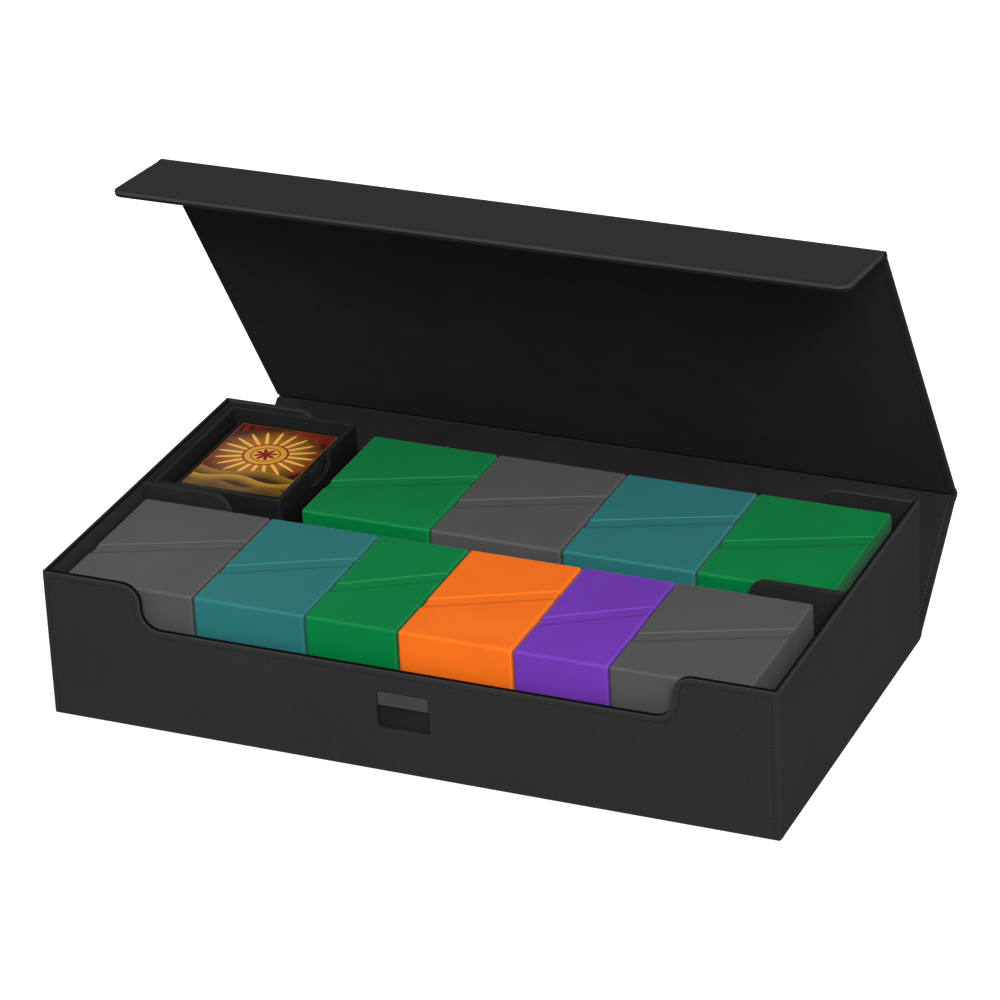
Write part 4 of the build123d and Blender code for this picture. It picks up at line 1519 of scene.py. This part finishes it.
class CARDBOX_OT_make_cards(bpy.types.Operator):
    """Stack the sleeved cards in the tray, the top one face up"""

    bl_idname = "card_box.make_cards"
    bl_label = "Cards"

    def execute(self, context):
        sizes = context.scene.card_box_sizes
        draw = random.Random(CARD_SEED)
        low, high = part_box("card_stack")
        count = round((high.z - low.z) / sizes.card_thickness)
        pitch = (high.z - low.z) / count
        bm = bmesh.new()
        for number in range(count):
            shift = Vector((draw.uniform(-1, 1), draw.uniform(-1, 1), 0)) * sizes.card_shift
            self.add_card(bm, low, high, low.z + number * pitch, CARD_FILL_SHARE * pitch, shift, sizes)
        make_piece("sleeved_cards", bm, "Card sleeves", "cards", ["card_stack"])
        low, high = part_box("top_card")
        bm = bmesh.new()
        self.add_card(bm, low, high, low.z, high.z - low.z, Vector(), sizes)
        make_piece("face_up_card", bm, "Card face", "cards", ["top_card"])
        return {"FINISHED"}

    def add_card(self, bm, low, high, bottom, thickness, shift, sizes):
        """One card with its edges slightly rounded."""
        edge = CARD_EDGE_SHARE * thickness
        rings = []
        for inset, height in ((edge, 0.0), (0.0, edge), (0.0, thickness - edge), (edge, thickness)):
            ring = level_ring(low, high, inset, sizes.card_corner_radius, bottom + height)
            rings.append([point + shift for point in ring])
        loft(bm, rings)


class CARDBOX_OT_make_cases(bpy.types.Operator):
    """Mould the deck cases: each a box with a collar in a slanted band, and a cap"""

    bl_idname = "card_box.make_cases"
    bl_label = "Deck cases"

    def execute(self, context):
        sizes = context.scene.card_box_sizes
        for body in frame["bodies"]:
            if "_case_" in body:
                self.make_case(body, sizes)
        return {"FINISHED"}

    def make_case(self, name, sizes):
        """Both halves of one case."""
        box, cap = f"{name}_box", f"{name}_cap"
        low, high = extent(box, cap)
        slot = SLOT_OF_NODE[box]
        halves = {box: self.box_rings(low, high, sizes), cap: self.cap_rings(low, high, sizes)}
        for node, rings in halves.items():
            bm = bmesh.new()
            # The crease attribute carries painted shade beside the band.
            loft_with_shades(bm, "crease", [ring for ring, _ in rings], [shade for _, shade in rings])
            make_piece(f"{node}_shell", bm, CASE_FINISHES[slot], name, [node])

    def ring(self, low, high, inset, distance, slant, sizes):
        """A section of the case at a distance from its middle, square to it or along the band."""
        middle = (low + high) / 2
        slope = slant * sizes.band_rise / (high.x - low.x)
        ring = upright_ring(low, high, inset, sizes.case_edge_radius, middle.y + distance)
        for point in ring:
            point.y += slope * (point.x - middle.x)
        return ring

    def end_rings(self, low, high, inset, side, sizes):
        """A closed end of the case, from its flat face to its full section."""
        half = (high.y - low.y) / 2 - inset
        rings = []
        for drawn_in, depth in rounding(sizes.case_edge_radius - inset, CASE_ROUND_STEPS):
            rings.append(self.ring(low, high, inset + drawn_in, side * (half - depth), 0, sizes))
        return rings

    def box_rings(self, low, high, sizes):
        """The box, as (ring, crease): closed front end, creased edge, band, collar and the hollow inside.
        The crease numbers are painted shade along the band's edge.
        """
        edge = -sizes.band_length / 2
        rear_edge = -edge
        collar_end = rear_edge + sizes.collar_engagement
        inner = sizes.collar_inset + sizes.collar_wall
        radius = sizes.band_edge_radius
        shoulder = SMALL_ROUND_SHARE * radius
        rings = [(ring, 0.0) for ring in self.end_rings(low, high, 0.0, -1, sizes)]
        # The third number of each row is how much painted shade the ring gets beside the crease
        slanted = [
            (0.0, edge - 2 * sizes.band_crease, 0.0),
            (0.0, edge - sizes.band_crease, CREASE_START),
            (0.0, edge - radius, 1.0),
            (shoulder, edge - shoulder, 1.0),
            (radius, edge, 1.0),
            (sizes.band_inset, edge, 1.0),
            (sizes.band_inset, edge + sizes.band_crease, CREASE_END),
            (sizes.band_inset, edge + 2 * sizes.band_crease, 0.0),
            (sizes.band_inset, rear_edge - radius, 0.0),
            (sizes.collar_inset, rear_edge - radius, 0.0),
            (sizes.collar_inset, collar_end, 0.0),
            (inner, collar_end, 0.0),
        ]
        for inset, distance, crease in slanted:
            rings.append((self.ring(low, high, inset, distance, 1, sizes), crease))
        return rings + [(ring, 0.0) for ring in reversed(self.end_rings(low, high, inner, -1, sizes))]

    def cap_rings(self, low, high, sizes):
        """The cap, as (ring, crease): closed rear end, bevelled edge and the hollow inside."""
        edge = sizes.band_length / 2
        bevel = sizes.band_bevel
        soft = SOFT_BEVEL_SHARE * bevel
        shoulder = SMALL_ROUND_SHARE * soft
        rings = self.end_rings(low, high, 0.0, 1, sizes)
        slanted = [
            (0.0, edge + bevel + soft),
            (shoulder, edge + bevel),
            (bevel - shoulder, edge + shoulder),
            (bevel, edge),
            (sizes.case_wall, edge),
        ]
        rings += [self.ring(low, high, inset, distance, 1, sizes) for inset, distance in slanted]
        rings += reversed(self.end_rings(low, high, sizes.case_wall, 1, sizes))
        return [(ring, 0.0) for ring in rings]


class CARDBOX_PT_sidebar(bpy.types.Panel):
    """Lists the pieces of the card box and what can be changed on them"""

    bl_idname = "CARDBOX_PT_sidebar"
    bl_label = "Card Box"
    bl_space_type = "VIEW_3D"
    bl_region_type = "UI"
    bl_category = "Card Box"

    def draw(self, context):
        layout = self.layout
        for operator in OPERATORS:
            layout.operator(operator.bl_idname)
        groups = (
            context.scene.card_box_sizes,
            context.scene.card_box_colours,
            context.scene.card_box_stage,
        )
        for group in groups:
            box = layout.box()
            for name in group.__annotations__:
                box.prop(group, name)


OPERATORS = (
    CARDBOX_OT_make_finishes,
    CARDBOX_OT_dress_inside,
    CARDBOX_OT_make_base,
    CARDBOX_OT_make_divider,
    CARDBOX_OT_make_badge,
    CARDBOX_OT_make_cover,
    CARDBOX_OT_make_folds,
    CARDBOX_OT_make_stitches,
    CARDBOX_OT_make_tray,
    CARDBOX_OT_make_cards,
    CARDBOX_OT_make_cases,
    CARDBOX_OT_make_stage,
)
CLASSES = (CardBoxSizes, CardBoxColours, CardBoxStage, *OPERATORS, CARDBOX_PT_sidebar)


def register():
    """Register the classes and hang their values on the scene."""
    for cls in CLASSES:
        bpy.utils.register_class(cls)
    bpy.types.Scene.card_box_sizes = PointerProperty(type=CardBoxSizes)
    bpy.types.Scene.card_box_colours = PointerProperty(type=CardBoxColours)
    bpy.types.Scene.card_box_stage = PointerProperty(type=CardBoxStage)


def unregister():
    """Take the values and the classes away again."""
    del bpy.types.Scene.card_box_stage
    del bpy.types.Scene.card_box_colours
    del bpy.types.Scene.card_box_sizes
    for cls in reversed(CLASSES):
        bpy.utils.unregister_class(cls)


def main():
    """Build every piece in order."""
    register()
    bpy.ops.card_box.make_finishes()
    bpy.ops.card_box.dress_inside()
    bpy.ops.card_box.make_base()
    bpy.ops.card_box.make_divider()
    bpy.ops.card_box.make_badge()
    bpy.ops.card_box.make_cover()
    bpy.ops.card_box.make_folds()
    bpy.ops.card_box.make_stitches()
    bpy.ops.card_box.make_tray()
    bpy.ops.card_box.make_cards()
    bpy.ops.card_box.make_cases()
    bpy.ops.card_box.make_stage()


if __name__ == "__main__":
    main()
